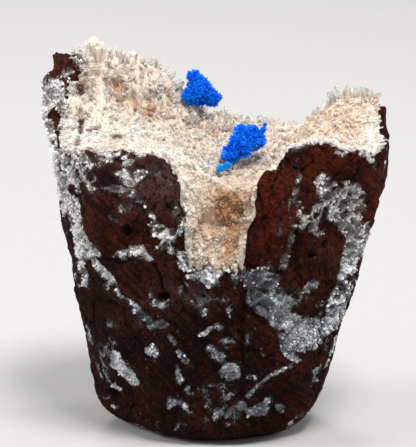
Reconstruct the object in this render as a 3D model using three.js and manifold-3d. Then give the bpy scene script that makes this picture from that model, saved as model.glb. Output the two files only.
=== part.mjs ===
// Cavansite on stilbite: a tapered block of brown, brecciated basalt whose top is a crystal-lined hollow.
// A crust of pale stilbite blades fills the hollow and spills through a notch in the front wall. Two blue
// cavansite rosettes and a small sprig sit on the crust. The crust and the rosettes are grown on, each with
// a hair gap to what is under it. Millimetres, +Z up, front towards -Y, origin under the middle of the block
// on the surface it stands on.
import * as THREE from "three";
import { mergeVertices } from "three/addons/utils/BufferGeometryUtils.js";
import Module from "manifold-3d";

const wasm = await Module();
wasm.setup();

// ---- driving dimensions -------------------------------------------------------------------------------------

const GAP = 0.3; // between a mineral and what it grew on
const COLUMNS = 56; // corners that the block has all round

// Break faces of the block: outward direction in degrees from +X, reach from the axis at the foot, and how much
// further out the face stands for each millimetre of height.
const BREAK_FACES = [
  { name: "front", azimuth: -90, reach: 18.0, flare: 0.055 },
  { name: "front foot", azimuth: -87, reach: 15.6, flare: 0.15 },
  { name: "front right", azimuth: -50, reach: 19.3, flare: 0.2 },
  { name: "right", azimuth: 0, reach: 33.7, flare: 0 },
  { name: "right foot", azimuth: -4, reach: 18.7, flare: 0.29 },
  { name: "back right", azimuth: 48, reach: 17.5, flare: 0.2 },
  { name: "back", azimuth: 92, reach: 14.8, flare: 0.16 },
  { name: "back left", azimuth: 134, reach: 19.5, flare: 0.17 },
  { name: "left", azimuth: 180, reach: 23.6, flare: 0.16 },
  { name: "left brow", azimuth: 178, reach: 54, flare: -0.29 },
  { name: "left front", azimuth: -152, reach: 21.2, flare: 0.172 },
  { name: "left front foot", azimuth: -124, reach: 17.4, flare: 0.21 },
];
const FACE_CUTOFF = 0.08; // cosine past which a break face no longer bounds the wall in a direction
const CORNER_WEAR = 0.9; // how far the corners between break faces are worn
const FOOT_ROUNDING = { front: 4.5, side: 8 }; // radius where the wall turns under to the flat foot

// Blocks and pockets of the front wall, as hills standing out from it, placed by X and Z.
const FRONT_STEEPNESS = 1.8; // of these hills: above 1 they have flat middles and steep sides
const FRONT_FORMS = [
  { name: "left block", rise: 1.4, x: -17, z: 42, wide: 8, high: 12 },
  { name: "red block", rise: 1.6, x: 10, z: 48, wide: 3.6, high: 8 },
  { name: "right pocket", rise: -1.6, x: 25, z: 46, wide: 4.2, high: 7 },
  { name: "middle pocket", rise: -1.8, x: -1, z: 34, wide: 5, high: 3.4 },
  { name: "right island", rise: 0.9, x: 20.5, z: 36.5, wide: 2.8, high: 6 },
  { name: "right seam", rise: -0.9, x: 14, z: 26, wide: 8, high: 3.2 },
  { name: "belly", rise: 0.7, x: -4, z: 19, wide: 11, high: 8 },
  { name: "left foot chip", rise: -1.6, x: -21, z: 9, wide: 3, high: 4 },
];

// Waves that cross each other and leave the wall uneven all round: millimetres per wave along X, Y and Z.
const WALL_WAVES = [
  { rise: 0.5, x: 41, y: 29, z: -33 },
  { rise: 0.4, x: -19, y: 23, z: 27 },
  { rise: 0.3, x: 13, y: 17, z: -15 },
  { rise: 0.24, x: 9, y: -11, z: 10 },
  { rise: 0.2, x: 6.1, y: -7.3, z: 6.7 },
  { rise: 0.16, x: -5.3, y: 6.1, z: 9.1 },
];

// Height of the crust's surface: a level, with heaps and hollows as hills of given rise, centre and spread.
// A steepness of 1 is a soft hill, and more gives it a flat middle and steep sides.
const CRUST_LEVEL = 59;
const CRUST_FORMS = [
  { name: "left heap", rise: 17.5, x: -24, y: 13, wide: 9, deep: 10.5, steepness: 1 },
  { name: "back heap", rise: 6.5, x: -10, y: 20.5, wide: 6, deep: 5, steepness: 1 },
  { name: "hollow in the left heap", rise: -7.5, x: -19, y: 6.5, wide: 5, deep: 4.5, steepness: 1 },
  { name: "left corner", rise: 7.5, x: -35, y: 6, wide: 4, deep: 6.5, steepness: 1 },
  { name: "front left rim", rise: 2.5, x: -16, y: -17.5, wide: 9.5, deep: 8.5, steepness: 1 },
  { name: "right heap", rise: 8.5, x: 31, y: 12.5, wide: 6.5, deep: 9, steepness: 1 },
  { name: "front right rim", rise: 5, x: 18.5, y: -17, wide: 5.5, deep: 8, steepness: 1 },
  { name: "back saddle", rise: -2.5, x: 13.5, y: 22.5, wide: 6.5, deep: 4, steepness: 1 },
  { name: "valley", rise: -7.5, x: 5, y: -11, wide: 8, deep: 9, steepness: 1 },
  { name: "front notch", rise: -17, x: 0, y: -24, wide: 5.6, deep: 8, steepness: 2.5 },
];
const CRUST_THICKNESS = 3.4; // square to its surface
const CRUST_EDGE_THICKNESS = 2.2;
const CRUST_EDGE_WIDTH = 0.25; // share of the rim's radius over which the crust thins to its edge
const CRUST_COVERAGE = 0.965; // share of the rim's radius that the crust reaches
const BARE_CORNER = { azimuth: 169, spread: 10, coverage: 0.76, lip: 0.09 }; // rock shows at the top here

// Low crystals packed side by side over the crust, as ridged roofs in rings. Each ring gives the share of the
// crust's reach at its outer side and how many columns one crystal spans from there inwards.
const CRYSTAL_RINGS = [
  { outer: 1, span: 1 },
  { outer: 0.87, span: 1 },
  { outer: 0.74, span: 1 },
  { outer: 0.6, span: 2 },
  { outer: 0.46, span: 2 },
  { outer: 0.31, span: 4 },
  { outer: 0.15, span: 0 }, // one crystal closes the middle
];
const CRYSTAL_RISE = { least: 0.6, most: 2.8 };
const EDGE_CRYSTAL_SHARE = 0.4; // of that rise, for the crystals on the crust's edge
const CRYSTAL_FOOT = 0.5; // how far the joints between the low crystals lie under the crust's surface
const CRYSTAL_WANDER = 0.03; // how unevenly they lie, as a share of the crust's reach

// Blades that stand clear of the others.
const BLADES = 28;
const BLADES_REACH = 0.9; // share of the crust's reach that they stand on
const GOLDEN_SHARE = 0.618034; // of a turn, from one blade to the next, which spreads them evenly
const BLADE = { length: 3.2, width: 2.1, thick: 1.0, sunk: 1.4 };
const PEAK_CRYSTAL = { x: -24.3, y: 11.5, width: 3, length: 2.6 }; // the blunt one on top of the left heap

// Rosettes: spiny balls grown into each other, each with its centre, the radius its tips reach, and how finely
// it is divided into spines.
const BACK_ROSETTE = [
  { x: -3.2, y: 15.6, z: 64.2, radius: 3.3, detail: 1 },
  { x: -4.2, y: 15.8, z: 67.3, radius: 1.9, detail: 1 },
  { x: -0.7, y: 15.4, z: 62.9, radius: 2.2, detail: 0 },
  { x: -5.2, y: 15.2, z: 63.0, radius: 2.0, detail: 0 },
];
const FRONT_ROSETTE = [
  { x: 5.0, y: -2.6, z: 57.8, radius: 3.1, detail: 1 },
  { x: 7.6, y: -2.2, z: 58.6, radius: 2.4, detail: 1 },
  { x: 2.7, y: -3.4, z: 55.9, radius: 2.3, detail: 0 },
  { x: 5.2, y: -2.0, z: 60.4, radius: 1.8, detail: 0 },
];
const SPRIG = [
  { x: 0.9, y: -6.6, z: 53.4, radius: 1.2, detail: 0 },
  { x: 2.2, y: -6.2, z: 53.9, radius: 0.9, detail: 0 },
];
const ROSETTE_BALLS = [...BACK_ROSETTE, ...FRONT_ROSETTE, ...SPRIG];
const SPINE = { root: 0.76, shortest: 0.9 }; // shares of a ball's radius
const SOCKET_FIT = 1.06; // how much wider than a ball its faceted socket is, so that flat faces clear it too

// Open gas bubbles in the basalt, and bubbles that zeolite has filled and that stand proud: place on the front
// wall by X and Z, and radii.
const OPEN_BUBBLES = [
  { x: -17.6, z: 43.8, wide: 1.0, high: 1.5 },
  { x: 19.4, z: 39.4, wide: 1.2, high: 0.9 },
  { x: -10.2, z: 31.0, wide: 1.5, high: 1.1 },
];
const FILLED_BUBBLES = [
  { x: -19.6, z: 16.0, wide: 1.5, high: 2.9 },
  { x: -13.2, z: 19.6, wide: 0.9, high: 1.0 },
  { x: 0.2, z: 19.4, wide: 1.1, high: 1.5 },
  { x: 2.4, z: 14.8, wide: 1.6, high: 1.8 },
];

const WALL_RINGS = 16;
const WALL_RING_BUNCHING = 1.2; // above 1 the wall's rings are closer together near the foot

// Shift that puts the origin under the middle of the finished block.
const CENTRE = { x: 0, y: -1.3 };

// ---- small helpers ------------------------------------------------------------------------------------------

const { clamp, degToRad, lerp } = THREE.MathUtils;

// A repeatable number from 0 to 1 for the nth thing and its kth property.
function scatter(n, k) {
  const value = Math.sin(n * 12.9898 + k * 78.233) * 43758.5453;
  return value - Math.floor(value);
}

// A closed mesh as a solid that can be joined and cut.
function solidOf(geometry) {
  const bare = geometry.clone();
  bare.deleteAttribute("normal");
  bare.deleteAttribute("uv");
  const merged = mergeVertices(bare, 1e-4);
  return new wasm.Manifold(
    new wasm.Mesh({
      numProp: 3,
      vertProperties: merged.attributes.position.array,
      triVerts: merged.index.array,
    }),
  );
}

// A solid as a mesh geometry with flat faces.
function geometryOf(solid) {
  const { vertProperties, triVerts } = solid.getMesh();
  const indexed = new THREE.BufferGeometry();
  indexed.setAttribute("position", new THREE.BufferAttribute(vertProperties, 3));
  indexed.setIndex(new THREE.BufferAttribute(triVerts, 1));
  const geometry = indexed.toNonIndexed();
  geometry.computeVertexNormals();
  return geometry;
}

function geometryFrom(points, index) {
  const geometry = new THREE.BufferGeometry();
  geometry.setAttribute("position", new THREE.Float32BufferAttribute(points.flat(), 3));
  geometry.setIndex(index);
  return geometry;
}

// The largest of a solid's separate bodies.
function largestBody(solid) {
  return solid.decompose().reduce((a, b) => (a.volume() > b.volume() ? a : b));
}

// Turns a geometry's +Z to a direction, spun about it, and sets its origin on a point.
function stand(geometry, direction, spin, point) {
  const turn = new THREE.Quaternion().setFromUnitVectors(new THREE.Vector3(0, 0, 1), direction);
  turn.multiply(new THREE.Quaternion().setFromAxisAngle(new THREE.Vector3(0, 0, 1), spin));
  geometry.applyQuaternion(turn);
  geometry.translate(point.x, point.y, point.z);
  return geometry;
}

// ---- the block's form ---------------------------------------------------------------------------------------

// A hill of height 1 at its centre, with distances given as shares of its spread.
function hill(across, along, steepness = 1) {
  return Math.exp(-0.5 * Math.pow(across * across + along * along, steepness));
}

function frontRelief(x, z) {
  return FRONT_FORMS.reduce(
    (sum, form) =>
      sum + form.rise * hill((x - form.x) / form.wide, (z - form.z) / form.high, FRONT_STEEPNESS),
    0,
  );
}

// Distance of the wall from the axis, in a direction and at a height: the nearest break face, with worn corners,
// waves and the front's lumps and hollows, turned under at the foot.
function wallRadius(angle, z) {
  let sum = 0;
  for (const face of BREAK_FACES) {
    const facing = Math.cos(angle - degToRad(face.azimuth));
    if (facing > FACE_CUTOFF) sum += Math.exp(-(face.reach + face.flare * z) / facing / CORNER_WEAR);
  }
  const smooth = -CORNER_WEAR * Math.log(sum);
  const x = smooth * Math.cos(angle);
  const y = smooth * Math.sin(angle);
  let relief = y < 0 ? frontRelief(x, z) : 0;
  for (const wave of WALL_WAVES) {
    relief += wave.rise * Math.sin(2 * Math.PI * (x / wave.x + y / wave.y + z / wave.z));
  }
  const rounding = lerp(FOOT_ROUNDING.front, FOOT_ROUNDING.side, Math.cos(angle) ** 2);
  const under = clamp(1 - z / rounding, 0, 1);
  return smooth + relief - rounding * (1 - Math.sqrt(1 - under * under));
}

function crustHeight(x, y) {
  return CRUST_FORMS.reduce(
    (height, form) =>
      height + form.rise * hill((x - form.x) / form.wide, (y - form.y) / form.deep, form.steepness),
    CRUST_LEVEL,
  );
}

function crustNormal(x, y) {
  const step = 0.5;
  const slopeX = (crustHeight(x + step, y) - crustHeight(x - step, y)) / (2 * step);
  const slopeY = (crustHeight(x, y + step) - crustHeight(x, y - step)) / (2 * step);
  return new THREE.Vector3(-slopeX, -slopeY, 1).normalize();
}

// 1 at the corner of the block that the crust leaves bare, falling to 0 beside it.
function bareness(angle) {
  const away = angle - degToRad(BARE_CORNER.azimuth);
  const turn = Math.atan2(Math.sin(away), Math.cos(away));
  return hill(turn / degToRad(BARE_CORNER.spread), 0);
}

// Share of the rim's radius that the crust reaches.
function crustReach(angle) {
  const wander = 0.012 * Math.sin(7 * angle) + 0.012 * Math.sin(13 * angle + 2);
  return lerp(CRUST_COVERAGE + wander, BARE_CORNER.coverage, bareness(angle));
}

// How far under the crust's surface the rock lies, square to it: full inside, less at the crust's edge, and
// nothing past the edge at the bare corner, where the rock rises as a lip.
function crustThickness(angle, share) {
  const inside = (crustReach(angle) - share) / CRUST_EDGE_WIDTH;
  const past = clamp((share - crustReach(angle)) / BARE_CORNER.lip, 0, 1) * bareness(angle);
  return lerp(CRUST_EDGE_THICKNESS, CRUST_THICKNESS, clamp(inside, 0, 1)) * (1 - past);
}

// The rock's top surface under a point of the crust, raised by a lift square to the crust.
function rockHeight(x, y, angle, share, lift = 0) {
  return crustHeight(x, y) - (crustThickness(angle, share) - lift) / crustNormal(x, y).z;
}

// The wall's top point in a direction, where the rock's top surface meets the wall.
function rimPoint(angle) {
  let z = CRUST_LEVEL;
  for (let step = 0; step < 80; step++) {
    const radius = wallRadius(angle, z);
    z = lerp(z, rockHeight(radius * Math.cos(angle), radius * Math.sin(angle), angle, 1), 0.35);
  }
  return { angle, z, radius: wallRadius(angle, z) };
}

// Rim points at even distances along the rim, so that the notch has as many as a level stretch of its length.
function evenRim(count) {
  const fine = Array.from({ length: 720 }, (_, i) => rimPoint((2 * Math.PI * i) / 720));
  const spot = ({ angle, z, radius }) =>
    new THREE.Vector3(radius * Math.cos(angle), radius * Math.sin(angle), z);
  const along = [0];
  fine.forEach((point, i) => {
    along.push(along[i] + spot(point).distanceTo(spot(fine[(i + 1) % fine.length])));
  });
  const rim = [];
  for (let i = 0; rim.length < count; i++) {
    if (along[i + 1] > (rim.length / count) * along.at(-1)) rim.push(fine[i]);
  }
  return rim;
}

const RIM = evenRim(COLUMNS);

// A point of the rock's top at a column of the rim and a share of the crust's reach.
function rockTopPoint({ angle, radius }, share, lift = 0) {
  const reached = share * crustReach(angle);
  const x = radius * reached * Math.cos(angle);
  const y = radius * reached * Math.sin(angle);
  return [x, y, rockHeight(x, y, angle, reached, lift)];
}

// One ring of the rock's top. The rings wander, so that the crystals between them are uneven.
function rockTopRing({ outer }, lift = 0) {
  return RIM.map((rim, column) => {
    const wander = outer < 1 ? CRYSTAL_WANDER * (2 * scatter(column, 10 * outer) - 1) : 0;
    return rockTopPoint(rim, outer + wander, lift);
  });
}

// Joins two rings of point numbers with two triangles a column. Each four-cornered patch is folded along the
// diagonal whose ends lie lower, so that the rock and the crust's underside are folded alike.
function joinRings(index, points, lower, upper) {
  for (let c = 0; c < COLUMNS; c++) {
    const next = (c + 1) % COLUMNS;
    const patch = [lower[c], lower[next], upper[next], upper[c]];
    const [a, b, d, e] = patch.map((i) => crustHeight(points[i][0], points[i][1]));
    const turned = a + d > b + e ? [...patch.slice(1), patch[0]] : patch;
    index.push(turned[0], turned[1], turned[2], turned[0], turned[2], turned[3]);
  }
}

// Joins a ring of point numbers to a single point with a fan of triangles.
function joinPoint(index, ring, point) {
  for (let c = 0; c < COLUMNS; c++) index.push(point, ring[c], ring[(c + 1) % COLUMNS]);
}

// ---- basalt -------------------------------------------------------------------------------------------------

// Direction from the axis of the point of the front wall that has a given X and Z.
function frontAngle(x, z) {
  let angle = -Math.PI / 2;
  for (let step = 0; step < 30; step++) angle = -Math.acos(clamp(x / wallRadius(angle, z), -1, 1));
  return angle;
}

// A bubble set in the front wall.
function bubble({ x, z, wide, high }, outwards, deep) {
  const angle = frontAngle(x, z);
  const radius = wallRadius(angle, z) + outwards;
  const ball = new THREE.IcosahedronGeometry(1, 1);
  ball.scale(wide, deep, high);
  ball.rotateZ(angle + Math.PI / 2);
  ball.translate(radius * Math.cos(angle), radius * Math.sin(angle), z);
  return solidOf(ball);
}

// One ring of the wall. Its columns stand evenly round the foot and move to those of the rim on the way up.
function wallRing(ring) {
  const share = Math.pow(ring / (WALL_RINGS - 1), WALL_RING_BUNCHING);
  return RIM.map((rim, column) => {
    const z = share * rim.z;
    const angle = lerp((2 * Math.PI * column) / COLUMNS, rim.angle, share);
    const radius = wallRadius(angle, z);
    return [radius * Math.cos(angle), radius * Math.sin(angle), z];
  });
}

function basaltSolid() {
  const points = [];
  const index = [];
  const add = (point) => points.push(point) - 1;
  const wall = Array.from({ length: WALL_RINGS }, (_, ring) => wallRing(ring).map(add));
  const top = CRYSTAL_RINGS.map((ring) => rockTopRing(ring).map(add));
  const rings = [...wall, ...top];
  joinPoint(index, [...wall[0]].reverse(), add([0, 0, 0]));
  for (let ring = 0; ring + 1 < rings.length; ring++) joinRings(index, points, rings[ring], rings[ring + 1]);
  joinPoint(index, rings.at(-1), add(rockTopPoint(RIM[0], 0)));
  let rock = solidOf(geometryFrom(points, index));
  for (const open of OPEN_BUBBLES) rock = rock.subtract(bubble(open, 0.2, 1.6));
  for (const filled of FILLED_BUBBLES) rock = rock.add(bubble(filled, -0.4, 1.1));
  return rock;
}

// ---- stilbite crust -----------------------------------------------------------------------------------------

// The point of the crust's surface straight above or below a point, set back from it.
function crustOver([x, y], setBack = 0) {
  return [x, y, crustHeight(x, y) - setBack / crustNormal(x, y).z];
}

// Covers the patch inside a loop of points with one low crystal: a roof whose ridge has two ends. Every side of
// the loop slopes up to the nearer end. A share below 1 keeps it lower than the others.
function addLowCrystal(points, index, loop, seed, share = 1) {
  const corners = loop.map((i) => new THREE.Vector3(...points[i]));
  const middle = corners.reduce((sum, corner) => sum.add(corner), new THREE.Vector3());
  middle.divideScalar(corners.length);
  const normal = new THREE.Vector3();
  corners.forEach((corner, i) => {
    const next = corners[(i + 1) % corners.length];
    normal.add(corner.clone().sub(middle).cross(next.clone().sub(middle)));
  });
  normal.normalize();
  const ridge = corners[0].clone().sub(middle).projectOnPlane(normal).normalize();
  ridge.applyAxisAngle(normal, Math.PI * scatter(seed, 1));
  const twist = Math.max(...corners.map((corner) => Math.abs(corner.clone().sub(middle).dot(normal))));
  const sides = corners.map((corner) => corner.clone().sub(middle).dot(ridge));
  const half = lerp(0.3, 0.6, scatter(seed, 2)) * Math.min(Math.max(...sides), -Math.min(...sides));
  const rise = share * lerp(CRYSTAL_RISE.least, CRYSTAL_RISE.most, Math.pow(scatter(seed, 3), 1.6));
  const ends = [1, -1].map((side, k) => {
    const end = middle.clone().addScaledVector(ridge, side * half);
    end.addScaledVector(normal, twist + rise * lerp(0.7, 1, scatter(seed, 4 + k)));
    return points.push(end.toArray()) - 1;
  });
  const nearer = sides.map((side) => ends[side > 0 ? 0 : 1]);
  loop.forEach((corner, i) => {
    const next = (i + 1) % loop.length;
    index.push(corner, loop[next], nearer[i]);
    if (nearer[i] !== nearer[next]) index.push(nearer[i], loop[next], nearer[next]);
  });
}

// The crust as one closed surface: its underside follows the rock, and low crystals cover its edge and top.
function crustSheet() {
  const points = [];
  const index = [];
  const add = (point) => points.push(point) - 1;
  const under = CRYSTAL_RINGS.map((ring) => rockTopRing(ring, GAP).map(add));
  const over = under.map((ring) => ring.map((i) => add(crustOver(points[i], CRYSTAL_FOOT))));
  const downwards = [];
  for (let ring = 0; ring + 1 < under.length; ring++) {
    joinRings(downwards, points, under[ring], under[ring + 1]);
  }
  joinPoint(downwards, under.at(-1), add(rockTopPoint(RIM[0], 0, GAP)));
  index.push(...downwards.reverse());
  const addCrystals = (outer, inner, span, share = 1) => {
    for (let c = 0; c < COLUMNS; c += span) {
      const columns = Array.from({ length: span + 1 }, (_, i) => (c + i) % COLUMNS);
      const loop = [...columns.map((i) => outer[i]), ...columns.reverse().map((i) => inner[i])];
      addLowCrystal(points, index, loop, points.length, share);
    }
  };
  addCrystals(under[0], over[0], 1, EDGE_CRYSTAL_SHARE);
  for (let ring = 0; ring + 1 < over.length; ring++) {
    addCrystals(over[ring], over[ring + 1], CRYSTAL_RINGS[ring].span);
  }
  addLowCrystal(points, index, over.at(-1), points.length);
  return solidOf(geometryFrom(points, index));
}

// One flat-faced blade: a tabular crystal with a chisel end, standing up from the origin.
function bladeGeometry({ length, width, thick, sunk }) {
  const w = width / 2;
  const t = thick / 2;
  const shoulder = 0.6 * length;
  const corners = [
    [-w * 0.7, -t, -sunk], [w * 0.7, -t, -sunk], [w * 0.7, t, -sunk], [-w * 0.7, t, -sunk],
    [-w, -t, shoulder], [w, -t, shoulder], [w, t, shoulder], [-w, t, shoulder],
    [-w * 0.45, 0, length], [w * 0.45, 0, length],
  ];
  const faces = [
    [0, 2, 1], [0, 3, 2], [0, 1, 5], [0, 5, 4], [1, 2, 6], [1, 6, 5], [2, 3, 7], [2, 7, 6],
    [3, 0, 4], [3, 4, 7], [4, 5, 9], [4, 9, 8], [6, 7, 8], [6, 8, 9], [5, 6, 9], [7, 4, 8],
  ];
  return geometryFrom(corners, faces.flat());
}

// The blades that stand clear, spread evenly over the crust, each with its own size, lean and spin.
function standingBlades() {
  const blades = [];
  for (let n = 0; n < BLADES; n++) {
    const column = RIM[Math.floor(COLUMNS * ((n * GOLDEN_SHARE) % 1))];
    const under = rockTopPoint(column, BLADES_REACH * Math.sqrt((n + 0.5) / BLADES));
    const point = new THREE.Vector3(...crustOver(under));
    if (ROSETTE_BALLS.some((ball) => point.distanceTo(centreOf(ball)) < ball.radius + BLADE.length)) continue;
    const size = lerp(0.75, 1.25, scatter(n, 1));
    const lean = new THREE.Vector3(scatter(n, 2) - 0.5, scatter(n, 3) - 0.5, 0);
    const direction = crustNormal(point.x, point.y).add(lean).normalize();
    const blade = bladeGeometry(BLADE).scale(size, size, size);
    blades.push(stand(blade, direction, Math.PI * scatter(n, 5), point));
  }
  const { x, y, width, length } = PEAK_CRYSTAL;
  const peak = bladeGeometry({ length, width, thick: 0.8 * width, sunk: BLADE.sunk });
  blades.push(stand(peak, crustNormal(x, y), 0, new THREE.Vector3(x, y, crustHeight(x, y))));
  return blades;
}

// The crust with its blades, and with a socket round every ball of the rosettes.
function crustSolid() {
  let crust = crustSheet();
  for (const blade of standingBlades()) crust = crust.add(solidOf(blade));
  for (const ball of ROSETTE_BALLS) {
    const socket = new THREE.IcosahedronGeometry((ball.radius + GAP) * SOCKET_FIT, 1);
    socket.translate(ball.x, ball.y, ball.z);
    crust = crust.subtract(solidOf(socket));
  }
  return largestBody(crust);
}

// ---- cavansite ----------------------------------------------------------------------------------------------

function centreOf({ x, y, z }) {
  return new THREE.Vector3(x, y, z);
}

// A ball whose every face is drawn out into a spine.
function spinyBall(ball, seed) {
  const core = new THREE.IcosahedronGeometry(SPINE.root * ball.radius, ball.detail);
  const corners = core.attributes.position;
  const points = [];
  const index = [];
  for (let i = 0; i < corners.count; i += 3) {
    const [a, b, c] = [0, 1, 2].map((k) => new THREE.Vector3().fromBufferAttribute(corners, i + k));
    const share = lerp(SPINE.shortest, 1, scatter(i, seed));
    const tip = a.clone().add(b).add(c).setLength(share * ball.radius);
    points.push(a.toArray(), b.toArray(), c.toArray(), tip.toArray());
    const base = points.length - 4;
    index.push(base, base + 1, base + 3, base + 1, base + 2, base + 3, base + 2, base, base + 3);
  }
  return solidOf(geometryFrom(points, index).translate(ball.x, ball.y, ball.z));
}

function rosetteSolid(balls) {
  return balls.map(spinyBall).reduce((cluster, ball) => cluster.add(ball));
}

// ---- assembly -----------------------------------------------------------------------------------------------

const BASALT = new THREE.MeshStandardMaterial({ color: 0x6b3a30, roughness: 0.85, metalness: 0 });
const STILBITE = new THREE.MeshStandardMaterial({ color: 0xecd9c2, roughness: 0.35, metalness: 0 });
const CAVANSITE = new THREE.MeshStandardMaterial({ color: 0x0a52e0, roughness: 0.4, metalness: 0 });

const specimen = new THREE.Group();
specimen.position.set(CENTRE.x, CENTRE.y, 0);

function place(name, solid, material) {
  const mesh = new THREE.Mesh(geometryOf(solid), material);
  mesh.name = name;
  specimen.add(mesh);
}

place("basalt_matrix", basaltSolid(), BASALT);
place("stilbite_crust", crustSolid(), STILBITE);
place("cavansite_back", rosetteSolid(BACK_ROSETTE), CAVANSITE);
place("cavansite_front", rosetteSolid(FRONT_ROSETTE), CAVANSITE);
place("cavansite_sprig", rosetteSolid(SPRIG), CAVANSITE);

export default specimen;
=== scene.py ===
import itertools
import math

import bpy
import numpy as np
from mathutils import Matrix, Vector


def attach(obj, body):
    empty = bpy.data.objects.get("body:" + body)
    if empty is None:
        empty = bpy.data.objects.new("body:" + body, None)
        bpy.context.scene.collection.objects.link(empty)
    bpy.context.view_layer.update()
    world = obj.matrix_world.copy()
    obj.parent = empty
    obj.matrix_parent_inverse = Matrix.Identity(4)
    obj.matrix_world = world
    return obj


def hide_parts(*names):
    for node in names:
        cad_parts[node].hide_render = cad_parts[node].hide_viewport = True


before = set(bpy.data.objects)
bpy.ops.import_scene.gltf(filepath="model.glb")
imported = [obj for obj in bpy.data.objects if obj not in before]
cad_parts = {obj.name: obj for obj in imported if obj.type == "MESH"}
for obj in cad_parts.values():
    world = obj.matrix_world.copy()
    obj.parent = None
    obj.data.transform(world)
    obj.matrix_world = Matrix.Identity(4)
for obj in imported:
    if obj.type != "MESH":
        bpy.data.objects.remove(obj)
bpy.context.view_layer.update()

MM = 0.001
CENTRE_SHIFT = np.array([0.0, -1.3, 0.0])  # from the block's axis to the middle of its foot

# ---- driving dimensions --------------------------------------------------------------------------

# Break faces of the block: azimuth from +X in degrees, reach from the axis at the foot, and flare for each
# millimetre of height.
BREAK_FACES = {
    "front": (-90, 18.0, 0.055),
    "front foot": (-87, 15.6, 0.15),
    "front right": (-50, 19.3, 0.2),
    "right": (0, 33.7, 0),
    "right foot": (-4, 18.7, 0.29),
    "back right": (48, 17.5, 0.2),
    "back": (92, 14.8, 0.16),
    "back left": (134, 19.5, 0.17),
    "left": (180, 23.6, 0.16),
    "left brow": (178, 54, -0.29),
    "left front": (-152, 21.2, 0.172),
    "left front foot": (-124, 17.4, 0.21),
}
FACE_CUTOFF = 0.08  # cosine below which a break face no longer bounds the wall in a direction
CORNER_WEAR = 0.9  # how far the corners between the faces are worn
FOOT_ROUNDING_FRONT = 4.5  # height at which the wall starts to turn under
FOOT_ROUNDING_SIDE = 8.0

# Blocks and pockets of the front wall: rise, X, Z, wide, high.
FRONT_FORMS = {
    "left block": (1.4, -17, 42, 8, 12),
    "red block": (1.6, 10, 48, 3.6, 8),
    "right pocket": (-1.6, 25, 46, 4.2, 7),
    "middle pocket": (-1.8, -1, 34, 5, 3.4),
    "right island": (0.9, 20.5, 36.5, 2.8, 6),
    "right seam": (-0.9, 14, 26, 8, 3.2),
    "belly": (0.7, -4, 19, 11, 8),
    "left foot chip": (-1.6, -21, 9, 3, 4),
}
FRONT_STEEPNESS = 1.8

# Crossing waves of the wall: rise, and millimetres per wave along X, Y and Z.
WALL_WAVES = (
    (0.5, 41, 29, -33),
    (0.4, -19, 23, 27),
)

# Height of the crust: a level, with heaps and hollows given as rise, X, Y, wide, deep, steepness.
CRUST_LEVEL = 59.0
CRUST_FORMS = {
    "left heap": (15.1, -22.2, 13, 8.6, 10.5, 1.15),
    "back heap": (5.8, -11, 20.5, 5.2, 5, 1),
    "hollow in the left heap": (-7.5, -19, 6.5, 5, 4.5, 1),
    "left corner": (7.8, -31.8, 7.5, 7.0, 7, 2.2),
    "left corner's end": (1.8, -34.5, 6, 2, 6, 1),
    "left heap's left end": (-2.2, -27, 12, 2.0, 6, 1),
    "front left rim": (2.5, -16, -17.5, 9.5, 8.5, 1),
    "right heap": (6.6, 29.8, 12.5, 7.2, 9, 1.6),
    "front right rim": (5, 18.5, -17, 5.5, 8, 1),
    "right block's shoulder": (1.6, 13.5, -18, 1.8, 5, 1),
    "right block's low end": (-1.5, 9.3, -19, 1.6, 4, 1),
    "back saddle": (-2.5, 13.5, 22.5, 6.5, 4, 1),
    "valley": (-7.5, 5, -11, 8, 9, 1),
    "front notch": (-17, 0, -24, 5.6, 8, 2.5),
    "tongue's left foot": (2.0, -4.6, -22, 2.2, 3.5, 1),
    "tongue's right foot": (-1.2, 3.4, -22, 2, 3, 1),
}
# Places where the edges wander most: X, Y, Z, reach, and how far noise moves them, in millimetres.
WANDERS = (
    (0.5, -16, 48, 11, 1.0),
    (-31, 4, 70, 7, 1.0),
)
# Pushes to the side: X, Y, Z, reach, and how far to the right.
PUSHES = (
    (-4.5, -17, 40, 4.5, -2.0),
    (6, -17, 49, 4, 0.5),
)
CRUST_WARP = 0.5  # how far noise shifts the heaps and hollows here and there, in millimetres
CRUST_THICKNESS = 3.4
CRUST_EDGE_THICKNESS = 2.2
CRUST_EDGE_WIDTH = 0.25  # share of the rim's radius over which the crust thins to its edge
THIN_EDGE_THICKNESS = 0.7  # over the right-hand block, where the crust thins out
THIN_EDGE_AZIMUTH = -48.0
THIN_EDGE_SPREAD = 24.0
CRYSTAL_REACH = 0.9  # how far under the crust's surface its blades stand
BED_SUNK = 0.7 * CRYSTAL_REACH  # how far under it the crust's body lies
ROCK_SUNK = 0.1  # how far the rock's top is lowered under the crust
UNDERSIDE_LIFT = 0.05  # how far the crust's underside is raised above the rock
CRUST_COVERAGE = 0.965  # share of the rim's radius that the crust reaches
# Waves of the crust's edge: share of the radius, how many go all round, and where they start, in radians.
EDGE_WAVES = ((0.012, 7, 0), (0.012, 13, 2), (0.013, 29, 1), (0.014, 47, 4), (0.013, 83, 3), (0.011, 131, 5))
# Edges that the crust leaves bare, where the rock comes up to its surface: azimuth, spread, coverage there.
BARE_EDGES = {
    "left corner": (170, 11, 0.8),
    "right edge": (2, 13, 0.95),
    "left block's knob": (-144, 3.5, 0.94),
    "left block's second knob": (-131, 4, 0.93),
    "left block's third knob": (-119, 3.5, 0.94),
    "right block's low peak": (-66, 2.2, 0.9),
    "right block's peak": (-52, 4, 0.93),
    "right block's knob": (-31, 2.5, 0.93),
}
BARE_LIP = 0.09  # share of the radius over which the rock comes up there
RIM_JAGS = 0.8  # height of the steps along the rock's top edge

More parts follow.
